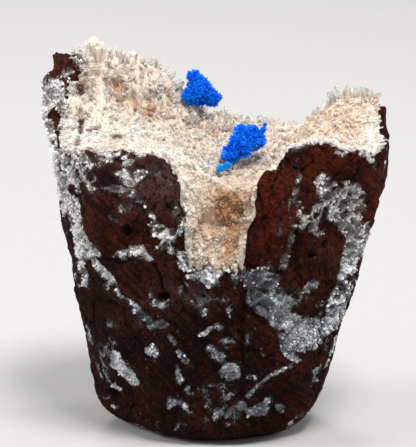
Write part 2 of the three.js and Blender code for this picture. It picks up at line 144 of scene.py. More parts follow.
# Zeolite of the front wall, as brush strokes. Noise breaks up a stroke whose fullness is low, whiteness goes
# from clear grey to white, and the points give X, Z and half-width.
SEAMS = {
    "left band": (1.5, 1.0, (
        (-32, 67.6, 1.3), (-30.6, 63.2, 2.5), (-29.3, 59, 2.1), (-28.6, 54.1, 1.8),
        (-28.3, 48.3, 2), (-28, 43.2, 1.6), (-26.6, 40.2, 1.5), (-25.2, 37.8, 1.2),
    )),
    "left edge": (1.3, 0.95, (
        (-34.5, 69, 1.4), (-34, 65, 1.9), (-33, 60, 2.2), (-31.8, 54, 2), (-30.8, 48.5, 1.8),
        (-30, 44.8, 1.1),
    )),
    "left edge's foot": (0.35, 0.5, ((-28.5, 35.6, 0.6), (-28.2, 32.7, 0.8), (-27.3, 30.5, 0.6))),
    "corner streak": (0.6, 0.85, ((-32, 70.5, 0.4), (-29.5, 72.3, 0.6), (-27.3, 73.6, 0.5))),
    "corner's second streak": (0.5, 0.8, ((-30.5, 69, 0.4), (-28.5, 70.4, 0.6), (-26.8, 71.5, 0.4))),
    "vein's leaf": (2.0, 0.55, ((-26.5, 43.2, 0.6), (-25.3, 40.9, 1.2), (-24, 39.3, 1.4), (-23, 38.6, 0.7))),
    "left branch": (1.0, 0.6, ((-28, 41.9, 0.6), (-26.7, 36, 1), (-25.7, 31.6, 0.8))),
    "rim mottle left": (0.4, 0.5, ((-26, 58.3, 1.6), (-24.4, 54.9, 1.6), (-23.2, 53.6, 1))),
    "rim mottle": (0.6, 0.75, ((-21.2, 59, 1.6), (-18.2, 58.7, 2), (-15.2, 56.6, 1.8), (-16.7, 54.8, 1))),
    "block vein": (1.4, 0.7, (
        (-21.9, 53.1, 0.5), (-19.4, 53.6, 0.7), (-16.9, 52.6, 0.7), (-14.7, 51.2, 0.9), (-13.3, 48.8, 0.7),
        (-12.2, 46.5, 0.9), (-11.1, 44.9, 1),
    )),
    "block druse": (0.7, 0.7, ((-12.6, 46.9, 0.8), (-10.1, 45, 1.6), (-7.7, 44.1, 1.8), (-5.6, 45.1, 1.4))),
    "block druse low": (0.6, 0.55, ((-10.7, 42.3, 0.8), (-8.1, 41.8, 0.8), (-6, 40.7, 0.6))),
    "block right": (0.25, 0.4, ((-12.5, 57.2, 0.8), (-10.7, 56.7, 1), (-9.5, 54.4, 0.6))),
    "block corner": (0.4, 0.5, ((-8.4, 50.5, 0.8), (-6.9, 48.8, 0.8), (-6.2, 46.7, 0.8))),
    "wedge": (2.0, 1.0, ((-20, 39.8, 0.5), (-17, 40.6, 1.1), (-14.6, 41.2, 1.6), (-12.6, 40.2, 0.8))),
    "long vein": (2.0, 0.9, ((-24.6, 37.6, 0.7), (-21.7, 35.5, 0.9), (-19.7, 34.0, 0.7))),
    "long vein's middle": (1.6, 0.5, (
        (-19.7, 34, 0.6), (-18.2, 32.3, 0.6), (-16.4, 30.3, 0.6), (-14.9, 28.7, 0.8),
    )),
    "blue-grey patch": (0.6, 0.3, ((-14.7, 28.4, 0.8), (-12.8, 26.6, 1.1), (-10.3, 25.8, 0.8))),
    "blue-grey patch's foot": (0.6, 0.25, ((-12.8, 26.6, 1.0), (-12.2, 24, 0.6))),
    "long vein low": (0.9, 0.35, ((-9.3, 24.2, 0.5), (-7.8, 22.2, 0.6))),
    "long vein's end": (0.8, 0.3, ((-7.6, 20.6, 0.4), (-6.8, 19.9, 0.4))),
    "middle white": (1.5, 0.85, ((-5.0, 40.2, 1.2), (-3.1, 36.5, 2.0), (-0.8, 34.8, 1.8), (0.9, 36.8, 1.6))),
    "middle": (1.0, 0.5, (
        (1.1, 38.5, 1.4), (4.5, 35.8, 2.8), (8.4, 33.8, 4.4), (10.4, 30.4, 4), (12.9, 26.9, 3),
    )),
    "middle low": (0.9, 0.36, ((12.9, 26.9, 2.8), (15.6, 24, 3.3), (18.7, 23, 3.2), (21.5, 24, 2.8))),
    "middle tip": (0.9, 0.45, ((13.9, 21.3, 1.2), (14.7, 19.2, 0.8), (16.3, 18.2, 0.6))),
    "right pocket": (1.0, 0.6, ((20.6, 55.4, 1.1), (22.4, 52.2, 3), (25, 48.7, 4), (26.8, 45.7, 3.3))),
    "right pocket low": (1.0, 0.6, (
        (28, 43.7, 2.6), (27.6, 40, 2.4), (26.3, 36.6, 2.3), (25.5, 32.8, 2.4), (24.2, 29.2, 2.4),
        (23, 25.8, 2.6),
    )),
    "right pocket left": (0.5, 0.55, ((15.1, 50.1, 1.2), (17, 48.2, 1.6), (19.3, 48.7, 1.6))),
    "island top": (0.8, 0.55, ((14.3, 46.2, 0.6), (17.4, 46.2, 0.6), (20.3, 43.9, 0.8))),
    "red seam": (0.4, 0.25, (
        (15.2, 58.9, 0.6), (15.8, 56.1, 0.6), (15.2, 52.2, 0.8), (14.5, 48.6, 0.8), (14.2, 43.2, 0.8),
        (13.5, 39.6, 0.6), (13, 37.5, 0.6),
    )),
    "island spot": (0.6, 0.7, ((17.1, 32.2, 0.6), (17.8, 33.2, 0.6), (18.8, 34.2, 0.4))),
    "island spot low": (0.5, 0.6, ((20.9, 29.9, 0.6), (22.2, 28.3, 0.6))),
    "right edge line": (0.9, 0.8, ((27.3, 33.5, 0.3), (25.3, 27, 0.4), (23.8, 20, 0.4), (21.8, 13.5, 0.4))),
    "right rim spill": (0.8, 0.9, ((22.5, 60.5, 0.6), (24.1, 59.5, 0.8), (25.3, 60.5, 0.8))),
    "right corner spill": (1.0, 0.9, ((28, 60.1, 0.8), (30, 57.9, 1), (31.5, 55.9, 0.6))),
    "bubble's ring": (0.9, 0.5, (
        (-7.7, 30.9, 0.3), (-9.9, 29.7, 0.3), (-12.2, 30, 0.4), (-12.5, 31.7, 0.3), (-12, 33.1, 0.2),
    )),
    "ring's tail": (0.5, 0.4, ((-7.4, 31.6, 0.8), (-6.2, 32.9, 0.8), (-5.3, 33.6, 0.4))),
    "oblong": (2.0, 0.65, ((-20, 17.3, 1.5), (-19, 15.7, 2.1), (-17.8, 13.7, 2.3), (-16.8, 12.1, 1.5))),
    "round spot": (2.0, 0.4, ((-12.7, 20.4, 1.1), (-12.1, 19.7, 1.1))),
    "upper of pair": (2.0, 0.4, ((-0.8, 20.7, 1.0), (0.1, 18.7, 1.4))),
    "lower of pair": (2.0, 0.5, ((2.1, 16.2, 1.6), (2.9, 15.4, 1.8))),
    "trail": (0.6, 0.2, ((-6.1, 18.9, 0.5), (-4.3, 16.9, 0.5))),
    "trail's second bit": (0.7, 0.25, ((-7.8, 16.5, 0.5), (-6.9, 14.5, 0.7))),
    "trail's third bit": (0.7, 0.25, ((-5.5, 12.9, 0.5), (-4.9, 11.6, 0.5))),
    "trail arc": (0.6, 0.35, ((-9.2, 8.6, 0.5), (-8.1, 9.8, 0.6), (-6.3, 9, 0.6), (-5.5, 7.6, 0.4))),
    "trail hairline": (0.5, 0.3, ((-7.1, 7.5, 0.2), (-7.7, 3.9, 0.2))),
    "dash": (0.6, 0.35, ((-3, 24.4, 0.3), (-1.2, 25.4, 0.4))),
    "dash beside": (0.5, 0.3, ((-0.3, 25.5, 0.4), (0.5, 25.5, 0.3))),
    "dash right": (0.5, 0.35, ((1.9, 22.6, 0.3), (4.2, 21.8, 0.4))),
    "grey spots": (0.5, 0.35, ((-2.4, 28.5, 0.6), (-2, 28.1, 0.6))),
    "standing dash": (0.6, 0.35, ((2.8, 30.3, 0.3), (2.3, 28.8, 0.4), (2.1, 27.5, 0.3))),
    "left streak": (0.7, 0.35, (
        (-26.3, 21.7, 0.3), (-26, 16.4, 0.4), (-25.1, 13.8, 0.3), (-23.8, 11.2, 0.4),
    )),
    "left foot flecks": (0.45, 0.4, ((-22.9, 10.7, 0.8), (-21.2, 9.3, 0.8), (-19.6, 8.7, 0.6))),
    "foot corner": (1.2, 0.7, ((-20.9, 5, 0.6), (-20.1, 4.6, 0.5))),
    "foot patch": (0.9, 0.4, ((0, 6.3, 0.8), (1.1, 7.9, 1))),
    "foot patch's second bit": (0.9, 0.3, ((2.6, 7.4, 1.3), (4.7, 8.8, 1.2))),
    "foot patch's third bit": (0.8, 0.28, ((6.6, 7.5, 1.5), (9, 8.3, 1.3))),
    "foot patch's fourth bit": (0.8, 0.35, ((10.1, 9.7, 0.6), (10.7, 10.8, 0.4))),
    "foot patch's crown": (0.7, 0.3, ((1.9, 10.6, 0.5), (3.1, 11.2, 0.4))),
    "foot patch's fringe": (0.8, 0.25, ((2.3, 4.8, 0.4), (3.9, 5.4, 0.4))),
    "foot vein": (2.0, 0.6, ((6, 11.2, 0.4), (8.9, 13.8, 0.5), (11.6, 16.3, 0.5), (14.4, 17.1, 0.6))),
    "foot spots": (0.6, 0.4, ((11.9, 7.8, 0.5), (12.4, 7.3, 0.5))),
    "low right spots": (0.6, 0.4, ((19.8, 14.2, 0.4), (19.4, 12.4, 0.4))),
}
# Rock that shows through the zeolite of the front wall, as strokes too.
ISLANDS = {
    "left band's hollow": ((-32, 62.3, 0.5), (-31, 60.4, 0.9), (-30.5, 58.8, 0.6)),
    "left band's gap": ((-28.2, 51.5, 0.3), (-27.9, 50.5, 0.4)),
    "left band's lower gap": ((-29.4, 40.5, 0.7), (-29, 36.6, 0.8), (-28.1, 33.8, 0.5)),
    "in the right pocket": ((16.8, 49.7, 0.6), (17.8, 46.7, 0.6)),
    "right pocket's hole": ((25.1, 47.2, 0.5), (25.5, 46.6, 0.5)),
    "right pocket's second hole": ((22.8, 53.2, 0.4), (23.6, 52.9, 0.3)),
    "in the middle": ((8.6, 33.2, 0.5), (9.8, 32.4, 0.4)),
    "at the middle's left": ((4.4, 33.2, 0.5), (5.6, 32.4, 0.4)),
    "in the block druse": ((-8.6, 46.2, 0.4), (-7.2, 45.6, 0.4)),
}
SEAM_BREAK = 0.75  # how far noise moves the zeolite's edge, in millimetres
SEAM_LOSS = 0.12  # and how far the edge draws in all round
OUTSIDE = -9.0  # depth of points that no stroke reaches
# The pockets' darkening is painted shade in the sunk hollows.
POCKET_PITCH = 2.3  # of the little pockets in the zeolite, darker than the walls between them
POCKET_DEPTH = 0.9
FLECK_LEVEL = 1.35  # above it, fine noise shows as flecks of zeolite; higher leaves fewer
HAIRLINE_WIDTH = 0.09
RIM_SPILL = 1.2  # how far zeolite runs down the wall from the crust's edge, round the sides and the back
BLOCK_PITCH = 15.0  # of the breccia's blocks, with seams between them round the sides and the back
BLOCK_SEAM = 0.9  # half-width of those seams
BLOCK_SEED = 15
SMALL_BLOCK_PITCH = 7.0
SMALL_BLOCK_SEED = 89
BLOCK_CRACK = 0.1  # half-width of the cracks between the smaller blocks
# Where the seams' crystals are bigger: X, Z, wide, high, and how much bigger.
BIG_CRYSTALS = ((-2.2, 35.5, 3.2, 2.6, 1.2), (-30, 62, 3, 8, 0.4))

# Dark cracks of the front wall: X and Z along them, then half-width.
CRACKS = {
    "block's foot": ((-23.1, 38.3, 0.3), (-21.3, 38.1, 0.35), (-19.3, 38.3, 0.3), (-16.9, 39.3, 0.2)),
    "beside the left band": ((-27, 52.4, 0.3), (-26.4, 49.6, 0.35), (-25.6, 46.6, 0.25)),
    "step": ((-23.5, 29.2, 0.3), (-20.2, 29.3, 0.35), (-17.1, 28.6, 0.25)),
    "belly": ((-23.6, 28.6, 0.25), (-24.6, 22.4, 0.2)),
    "middle": ((-12.3, 39.1, 0.25), (-10.8, 36.1, 0.3), (-10.4, 33.6, 0.25)),
    "red block's foot": ((5.1, 39, 0.35), (8.7, 37.3, 0.35), (13, 36.2, 0.25)),
    "lower": ((4.2, 24.3, 0.2), (6.2, 20.6, 0.25), (5.6, 17.1, 0.15)),
    "tongue's right side": ((6.6, 51.5, 0.35), (5.6, 45.5, 0.35), (4.8, 40.5, 0.3)),
    "beside the block vein": ((-16.5, 51.7, 0.25), (-14.3, 49.6, 0.3), (-12.6, 46, 0.25)),
    "island's left side": ((15.6, 46, 0.3), (15.3, 40, 0.3), (16.2, 34, 0.25)),
}
CRACK_DEPTH = 0.7

# Brick-red, purple and dark parts of the front wall: X, Z, wide, high, amount. The dark ones are partly
# painted shade.
RED_PARTS = {
    "red block": (10, 49, 4.5, 11, 0.75),
    # partly the rock's own brick-red, partly painted light on the top of the brow's ledge
    "right brow": (21, 58.5, 7, 3, 1.0),
    "right edge": (31, 48, 2.5, 10, 0.8),
    "lower right": (18, 12, 9, 9, 0.35),
    "left block": (-20, 46, 6, 7, 0.3),
    "top left corner": (-32, 71, 5, 5, 0.6),
}
PURPLE_PARTS = {
    "left block's top": (-12, 55, 7, 4.5, 0.9),
    "left block's side": (-24, 57, 4, 5, 0.6),
    "middle": (-9, 31, 5, 4, 0.4),
}
# Dark parts: the rock's own darker blocks, and painted shade under the ledge of the right brow, over the
# lower half and at the foot.
DARK_AND_SHADED_PARTS = {
    "lower left block": (-20, 20, 6.5, 8, 0.95),
    "lower middle": (-8, 15, 8, 8, 0.85),
    "lower right of the middle": (3, 18, 5, 6, 0.6),
    "left block's shoulder": (-21, 55.5, 3, 2, 0.7),
    "tongue's right side": (6, 50, 1.6, 9, 0.7),
    # painted shade under the brow's ledge
    "under the right brow": (22.5, 54.8, 3.5, 1.8, 0.7),
    "right brow's left end": (15, 60.3, 2, 1.5, 0.8),
    # this and the next: painted shade over the foot and the lower half, darker towards the bottom
    "foot": (-4, 4, 22, 3.5, 0.5),
    "lower half": (-4, 14, 22, 13, 0.75),
}

# Flat chips of the broken faces: rise, size and seed.
ROCK_CHIPS = ((0.3, 9.0, 24), (0.22, 4.3, 25), (0.10, 1.6, 26), (0.05, 0.8, 29))
HACKLE_SLANT = 48.0  # of the fine ridges on the broken faces, in degrees down to the right
HACKLE_RISE = 0.28

# Open gas bubbles of the front wall: X, Z, wide, high, deep.
OPEN_BUBBLES = (
    (-17.0, 45.2, 0.9, 1.4, 2.0),
    (18.5, 39.8, 0.9, 0.7, 1.0),
    (20.9, 41.2, 0.7, 0.9, 1.0),
    (-10.2, 31.9, 1.5, 1.0, 1.3),
    (8.8, 48.2, 0.5, 0.7, 0.7),
    (7.7, 52.7, 0.4, 0.5, 0.5),
    (11.7, 45.6, 0.4, 0.4, 0.5),
    (-23.0, 45.7, 0.4, 0.5, 0.5),
    (14.8, 57.5, 0.6, 0.8, 0.9),
    (-20.7, 7.6, 1.6, 1.2, 1.4),
    (-2.5, 31.5, 0.4, 0.4, 0.5),
    (10.5, 19.5, 0.4, 0.5, 0.5),
)

# Kinds of crystal on the crust, each a hill of influence: X, Y, wide, deep, then the blades' length, their
# width and thickness as shares of it, and how peach-coloured they are.
CRYSTAL_KINDS = {
    "left heap": (-20, 13, 10, 9, 1.7, 0.45, 0.15, 0.35),
    "hollow": (-16, 5, 5, 5, 1.8, 0.42, 0.14, 0.1),
    "front left rim": (-19, -13, 11, 8, 0.8, 0.7, 0.4, 0.2),
    "valley": (-2, 0, 8, 8, 1.3, 0.5, 0.24, 0.45),
    "tongue": (1, -19, 6, 7, 0.75, 0.8, 0.5, 0.6),
    "back saddle": (10, 17, 9, 6, 1.6, 0.5, 0.18, 0.45),
    "front right rim": (19, -14, 8, 7, 0.9, 0.7, 0.4, 0.9),
    "right heap": (29, 10, 8, 11, 1.5, 0.5, 0.18, 1.0),
}
SITE_SPACING = 0.42  # of the places tried for crystals on the crust
BLADE_SPACING = 0.46  # of the blades, as a share of their length
BLADE_COVER = 0.55  # share of them that is grown, so that the crust's body shows between
BLADE_SUNK = 0.7  # length of a blade that is hidden in the crust's body
BLADE_BANDS = {"left": (-99, -13), "middle": (-13, 13), "right": (13, 99)}  # X of the pieces' two ends
SPRAY_PITCH = 3.6  # between the middles of the sprays that the blades fan out in
SPRAY_LEAN = 0.7
FLATTEST_BLADE = 0.35  # sine of the angle between the crust and a blade below which the blade is raised
GRAIN_COVER = 0.5  # share of the places that grow a grain where the crust is smooth
EDGE_TRIES = 9000  # places tried on the crust's edge, of which more are kept where it is high
EDGE_HEIGHT = 7.0  # at which every try is kept
EDGE_COVER = 0.6  # share of the kept ones that grow a blade

# Rows of clear blades: X and Y of the two ends, how many, length.
CLEAR_ROWS = {
    "left heap's right shoulder": (-14, 20, -7, 18, 14, 1.5),
    "back saddle": (3, 20, 14, 18, 26, 1.9),
    "right heap's left side": (22, 11, 26, 15, 16, 1.8),
    "right heap's crest": (25, 12, 33, 10, 20, 1.6),
    "left heap's crest": (-26, 13, -16, 16, 14, 1.2),
    "under the back rosette": (-5, 9, 3, 10, 12, 1.8),
}
CLEAR_MARGIN = 0.03  # share of the rim's radius that clear blades keep from the crust's edge

# The blunt bundle on top of the left heap. Its crystals shorten and lean outwards away from its middle.
PEAK_SHEAF = {
    "x": -24.3, "y": 13.0, "crystals": 14, "spread": 1.1, "width": 1.5, "length": 4.0, "shortening": 0.35,
    "lean": 0.22, "tint": 0.4,
}

# Stained deep gaps of the crust: X, Y, wide, deep, amount.
STAINS = (
    (-16.5, 8.5, 6, 3, 0.15),
    (-19.8, 10.1, 1.5, 1.2, 1.0),
    (-15.6, 9.2, 1.1, 1.0, 0.8),
    (-13.5, 8.3, 1.0, 1.4, 0.9),
    (4.5, -16, 2.5, 2, 0.5),
    (-1, 11, 4, 2.5, 0.6),
    (-21, -16, 2, 2.2, 0.8),
)
# Stains of the crust's steep front, in the notch: X, Z, wide, high, amount.
FRONT_STAINS = (
    (1.8, 48.5, 2.2, 3.4, 1.0),
    (3.0, 42.5, 1.5, 2.5, 0.6),
    (-0.8, 43.5, 2.2, 2.0, 0.4),
)

# Chips of rock caught in the crust: X, Y, wide, deep, amount.
RIM_CHIPS = (
    (-27.1, 2.8, 0.9, 1.2, 1.0),
    (-23.5, -4.6, 1.2, 0.7, 1.0),
    (-19.6, -8.0, 1.5, 0.8, 1.0),
    (-18.7, 3.0, 0.8, 0.7, 0.8),
    (-26.6, -3.0, 0.7, 2.2, 0.9),
    (-26.8, -9.0, 0.8, 2.4, 1.0),
    (-16.5, -12.5, 0.9, 0.8, 0.8),
    (-22.5, -12.0, 1.2, 0.9, 0.8),
)
CHIP_DEPTH = 0.7  # how far the chips lie below the crust's surface
WHITE_RIM = 0.84  # share of the rim's radius from which the crust is white along the front

# Where the crust is smooth, with few blades: X, Y, wide, deep, amount.
SMOOTH_PARTS = (
    (1, -20, 7.5, 8.5, 1.0),
    (-3, -12, 5, 4, 0.5),
    (29, 4, 7, 8, 0.55),
    (-19, -13, 9, 6, 0.35),
)

# Rosettes: the balls that each is made of, as X, Y, Z and radius.
ROSETTES = {
    "cavansite_back": (
        (-3.2, 15.6, 64.9, 3.2), (-4.5, 15.8, 68.3, 1.6), (-3.7, 15.7, 66.6, 2.4), (-0.7, 15.4, 63.9, 2.1),
        (-5.3, 15.2, 64.3, 2.0),
    ),
    "cavansite_front": (
        (5.0, -2.6, 58.0, 3.1), (7.6, -2.2, 58.9, 2.4), (2.9, -3.4, 56.3, 2.2), (5.0, -2.0, 60.5, 1.7),
        (7.0, -2.2, 60.5, 1.6), (9.3, -2.1, 60.9, 0.7), (9.6, -2.1, 61.9, 0.45),
    ),
    "cavansite_sprig": ((0.8, -6.6, 54.0, 0.9), (2.3, -6.3, 54.6, 0.8), (1.6, -6.4, 54.2, 0.7)),
}
ROSETTE_PALENESS = {"cavansite_back": 0, "cavansite_front": 0, "cavansite_sprig": 0.45}
LEAST_LUMPS = 10  # small balls that cover a ball, and how many more for each millimetre of its radius
LUMPS_PER_RADIUS = 6
LUMP_SIZES = (0.26, 0.5)  # radius of the small balls, as a share of the ball's
MIDDLE_LUMP = 0.85  # and that of the one in the ball's middle
LUMP_NEEDLES = 76  # that radiate from each small ball
NEEDLE_LENGTHS = (0.6, 1.22)  # as a share of the small ball's radius
NEEDLE_WIDTH = 0.34  # as a share of its length
WIDEST_NEEDLE = 0.3

# Seeds of the random draws for each kind of crystal. Each rosette adds its own number.
SEEDS = {"seam crystals": 5, "blades": 7, "clear blades": 9, "peak": 15, "grains": 17, "rosettes": 20}

# ---- noise, cells and hills ----------------------------------------------------------------------


def smooth_step(low, high, value):
    """0 below low and 1 above high, with an S-shaped rise between them."""
    share = np.clip((value - low) / (high - low), 0, 1)
    return share * share * (3 - 2 * share)


def mix(low, high, share):
    """The value that lies a share of the way from low to high."""
    return low + (high - low) * share


def drawn(corners, seed):
    """A repeatable number from 0 to 1 for whole-numbered corners: each coordinate times a large prime, mixed
    by shifts and one more product, and cut to 16 bits."""
    mixed = corners[..., 0] * 73856093 ^ corners[..., 1] * 19349663 ^ corners[..., 2] * 83492791
    mixed = (mixed ^ (mixed >> 13) ^ seed * 97531) * 1274126177
    return ((mixed ^ (mixed >> 16)) & 0xFFFF) / 0xFFFF


def noise(points, pitch, seed):
    """Smooth noise from -1 to 1: every corner of a cubic lattice draws a number, and a point blends the
    eight corners round it with an S-shaped share along each side."""
    place = points / pitch
    corner = np.floor(place).astype(np.int64)
    share = place - corner
    share = share * share * (3 - 2 * share)
    total = np.zeros(points.shape[:-1])
    for step in itertools.product((0, 1), repeat=3):
        weight = np.prod(np.where(np.array(step), share, 1 - share), axis=-1)
        total += weight * (2 * drawn(corner + np.array(step), seed) - 1)
    return total


def rough_noise(points, pitch, octaves, seed):
    """Noise at a pitch, plus noise at half the pitch and half the rise, and so on."""
    return sum(0.5**k * noise(points, pitch * 0.5**k, seed + k) for k in range(octaves))


def grains(points, pitch, seed):
    """Cells round scattered centres, one centre in each cube of a lattice: the way from the nearest centre
    to each point, the distance to it, the distance to the next nearest, and a number drawn for the nearest
    one."""
    cube = np.floor(points / pitch).astype(np.int64)
    nearest = np.full(points.shape[:-1], np.inf)
    second = nearest.copy()
    way = np.zeros(points.shape)
    number = np.zeros(points.shape[:-1])
    for step in itertools.product((-1, 0, 1), repeat=3):
        here = cube + np.array(step)
        centre = (here + np.stack([drawn(here, seed + k) for k in range(3)], axis=-1)) * pitch
        away = points - centre
        distance = np.linalg.norm(away, axis=-1)
        closer = distance < nearest
        second = np.where(closer, nearest, np.minimum(second, distance))
        way = np.where(closer[..., None], away, way)
        number = np.where(closer, drawn(here, seed + 3), number)
        nearest = np.where(closer, distance, nearest)
    return way, nearest, second, number


def facets(points, pitch, seed):
    """Height of packed crystals, from -1 to 1: each grain is a flat facet with its own tilt and step."""
    way, _, _, number = grains(points, pitch, seed)
    turn = 40 * math.pi * number
    tilt = way[..., 0] * np.cos(turn) + way[..., 1] * np.sin(turn) + way[..., 2] * np.sin(1.7 * turn)
    return np.clip(0.9 * tilt / pitch + 1.2 * (number - 0.5), -1, 1)


def hill(across, along, steepness=1.0):
    """Height 1 in the middle, falling away as exp(-r^2/2), or faster where the steepness is above 1."""
    return np.exp(-0.5 * (across * across + along * along) ** steepness)


def ovals(across, along, parts, steepness=1.0):
    """Strongest of several soft ovals, each given by its place and its half-size, both across and along, and
    its amount."""
    return np.max([
        amount * hill((across - middle_across) / wide, (along - middle_along) / deep, steepness)
        for middle_across, middle_along, wide, deep, amount in parts
    ], axis=0)


# ---- the block's form ----------------------------------------------------------------------------


def wall_radius(angle, z):
    """Distance of the wall from the axis. Each break face lies at its reach plus its flare times the height,
    over the cosine of the angle to it. A soft minimum of these wears the corners. Crossing waves and the
    front's forms leave it uneven, and at the foot it turns under on a quarter of an ellipse."""
    angle, z = np.broadcast_arrays(angle, z)
    azimuth, reach, flare = np.array(list(BREAK_FACES.values())).T
    facing = np.cos(angle[..., None] - np.radians(azimuth))
    away = (reach + flare * z[..., None]) / np.maximum(facing, FACE_CUTOFF)
    near = np.where(facing > FACE_CUTOFF, np.exp(-away / CORNER_WEAR), 0)
    smooth = -CORNER_WEAR * np.log(near.sum(axis=-1))
    x = smooth * np.cos(angle)
    y = smooth * np.sin(angle)
    relief = np.zeros(x.shape)
    for rise, form_x, form_z, wide, high in FRONT_FORMS.values():
        relief += rise * hill((x - form_x) / wide, (z - form_z) / high, FRONT_STEEPNESS)
    relief *= smooth_step(0.5, -0.5, y)
    for rise, wave_x, wave_y, wave_z in WALL_WAVES:
        relief += rise * np.sin(2 * math.pi * (x / wave_x + y / wave_y + z / wave_z))
    rounding = mix(FOOT_ROUNDING_FRONT, FOOT_ROUNDING_SIDE, np.cos(angle) ** 2)
    under = np.clip(1 - z / rounding, 0, 1)
    return smooth + relief - rounding * (1 - np.sqrt(1 - under * under))


def outwards_at(angle):
    """Level directions away from the axis."""
    return np.stack([np.cos(angle), np.sin(angle), np.zeros(angle.shape)], axis=-1)


def around_azimuth(angle, azimuth, spread):
    """1 at an azimuth, falling to 0 beside it over a spread, both in degrees."""
    away = angle - np.radians(azimuth)
    return hill(np.arctan2(np.sin(away), np.cos(away)) / np.radians(spread), 0)


def crust_height(x, y):
    """Height of the crust's surface: the level plus every heap and hollow as a hill. Noise shifts the places
    a little, so that no outline runs straight."""
    place = np.stack([x, y, np.zeros(np.shape(x))], axis=-1)
    x = x + CRUST_WARP * noise(place, 2.0, 92)
    y = y + CRUST_WARP * noise(place, 2.0, 93)
    height = np.full(np.shape(x), CRUST_LEVEL)
    for rise, form_x, form_y, wide, deep, steepness in CRUST_FORMS.values():
        height = height + rise * hill((x - form_x) / wide, (y - form_y) / deep, steepness)
    return height


def crust_points(x, y):
    """Points of the crust's surface."""
    return np.stack([x, y, crust_height(x, y)], axis=-1)


def crust_normal(x, y):
    """Direction square to the crust's surface, from its slope over half a millimetre to either side."""
    step = 0.5
    slope_x = (crust_height(x + step, y) - crust_height(x - step, y)) / (2 * step)
    slope_y = (crust_height(x, y + step) - crust_height(x, y - step)) / (2 * step)
    normal = np.stack([-slope_x, -slope_y, np.ones(np.shape(x))], axis=-1)
    return normal / np.linalg.norm(normal, axis=-1, keepdims=True)


def bare_edges(angle):
    """For each of the bare edges, 1 at its middle, falling to 0 beside it."""
    azimuth, spread, _ = np.array(list(BARE_EDGES.values())).T
    return around_azimuth(angle[..., None], azimuth, spread)


def bareness(angle):
    """1 at the edges that the crust leaves bare, falling to 0 beside them."""
    return bare_edges(angle).max(axis=-1)


def crust_reach(angle):
    """Share of the rim's radius that the crust reaches: its coverage with waves, less at the bare edges."""
    waves = sum(rise * np.sin(count * angle + start) for rise, count, start in EDGE_WAVES)
    covered = CRUST_COVERAGE + waves
    coverage = np.array(list(BARE_EDGES.values()))[:, 2]
    return mix(covered[..., None], coverage, bare_edges(angle)).min(axis=-1)


def crust_thickness(angle, share):
    """Thickness of the crust: full inside, thinner at its edge, and nothing on the bare corner's lip."""
    inside = np.clip((crust_reach(angle) - share) / CRUST_EDGE_WIDTH, 0, 1)
    past = np.clip((share - crust_reach(angle)) / BARE_LIP, 0, 1) * bareness(angle)
    thin = around_azimuth(angle, THIN_EDGE_AZIMUTH, THIN_EDGE_SPREAD)
    return mix(mix(CRUST_EDGE_THICKNESS, THIN_EDGE_THICKNESS, thin), CRUST_THICKNESS, inside) * (1 - past)


def rock_height(x, y, angle, share):
    """Height of the rock's top: the crust's surface less its thickness, measured square to the surface."""
    return crust_height(x, y) - crust_thickness(angle, share) / crust_normal(x, y)[..., 2]


RIM_ROUNDS = 80
RIM_STEP = 0.35
RIM_PLACES = 1440


def rim_line(angle):
    """Height and radius of the rim: the height where the rock's top meets the wall, found in many rounds.
    Each moves a share of the way to the rock's top."""
    z = np.full(np.shape(angle), CRUST_LEVEL)
    for _ in range(RIM_ROUNDS):
        radius = wall_radius(angle, z)
        z = mix(z, rock_height(radius * np.cos(angle), radius * np.sin(angle), angle, 1.0), RIM_STEP)
    return z, wall_radius(angle, z)


RIM_ANGLES = np.linspace(-math.pi, math.pi, RIM_PLACES, endpoint=False)
RIM_HEIGHTS, RIM_RADII = rim_line(RIM_ANGLES)


def rim_at(angle):
    """Height and radius of the rim in a direction."""
    height = np.interp(angle, RIM_ANGLES, RIM_HEIGHTS, period=2 * math.pi)
    return height, np.interp(angle, RIM_ANGLES, RIM_RADII, period=2 * math.pi)


# ---- zeolite, cracks and bubbles -----------------------------------------------------------------


def stroke_depth(x, z, stroke):
    """How far inside a brush stroke points lie: for each stretch, its half-width there less the distance."""
    deepest = np.full(x.shape, -np.inf)
    for (x0, z0, w0), (x1, z1, w1) in zip(stroke, stroke[1:]):
        along = ((x - x0) * (x1 - x0) + (z - z0) * (z1 - z0)) / ((x1 - x0) ** 2 + (z1 - z0) ** 2)
        along = np.clip(along, 0, 1)
        away = np.hypot(x - mix(x0, x1, along), z - mix(z0, z1, along))
        deepest = np.maximum(deepest, mix(w0, w1, along) - away)
    return deepest


def pockets(points):
    """1 inside the little pockets of the zeolite, 0 on the walls between them and near the foot."""
    _, nearest, second, _ = grains(points + 0.7 * noise(points, 1.6, 94)[..., None], POCKET_PITCH, 95)
    open_here = smooth_step(-0.9, -0.1, noise(points, 6.0, 96)) * smooth_step(18, 23, points[..., 2])
    return smooth_step(0.15, 0.75, second - nearest) * open_here


def painted_zeolite(points):
    """The strokes of the front wall, bent by noise: how deep in them points lie, each stroke counting no
    deeper than its fullness, how white the deepest one is, and how ragged. Islands cut them, and they end
    where the wall turns back: behind the axis, or farther on past the left corner."""
    bent = points + 0.6 * np.stack([rough_noise(points, 3.1, 3, seed) for seed in (11, 12, 13)], axis=-1)
    depth = np.full(points.shape[:-1], OUTSIDE)
    white = np.full(points.shape[:-1], 0.5)
    ragged = np.ones(points.shape[:-1])
    for fullness, whiteness, stroke in SEAMS.values():
        inside = np.minimum(stroke_depth(bent[..., 0], bent[..., 2], stroke), fullness * SEAM_BREAK)
        white = np.where(inside > depth, whiteness, white)
        ragged = np.where(inside > depth, min(1, 1.6 - 0.6 * fullness), ragged)
        depth = np.maximum(depth, inside)
    for stroke in ISLANDS.values():
        depth = np.minimum(depth, -stroke_depth(bent[..., 0], bent[..., 2], stroke))
    behind = mix(2, 13, smooth_step(-24, -30, points[..., 0])) + 3 * noise(points, 5.0, 97)
    return np.where(points[..., 1] > behind, OUTSIDE, depth), white, ragged


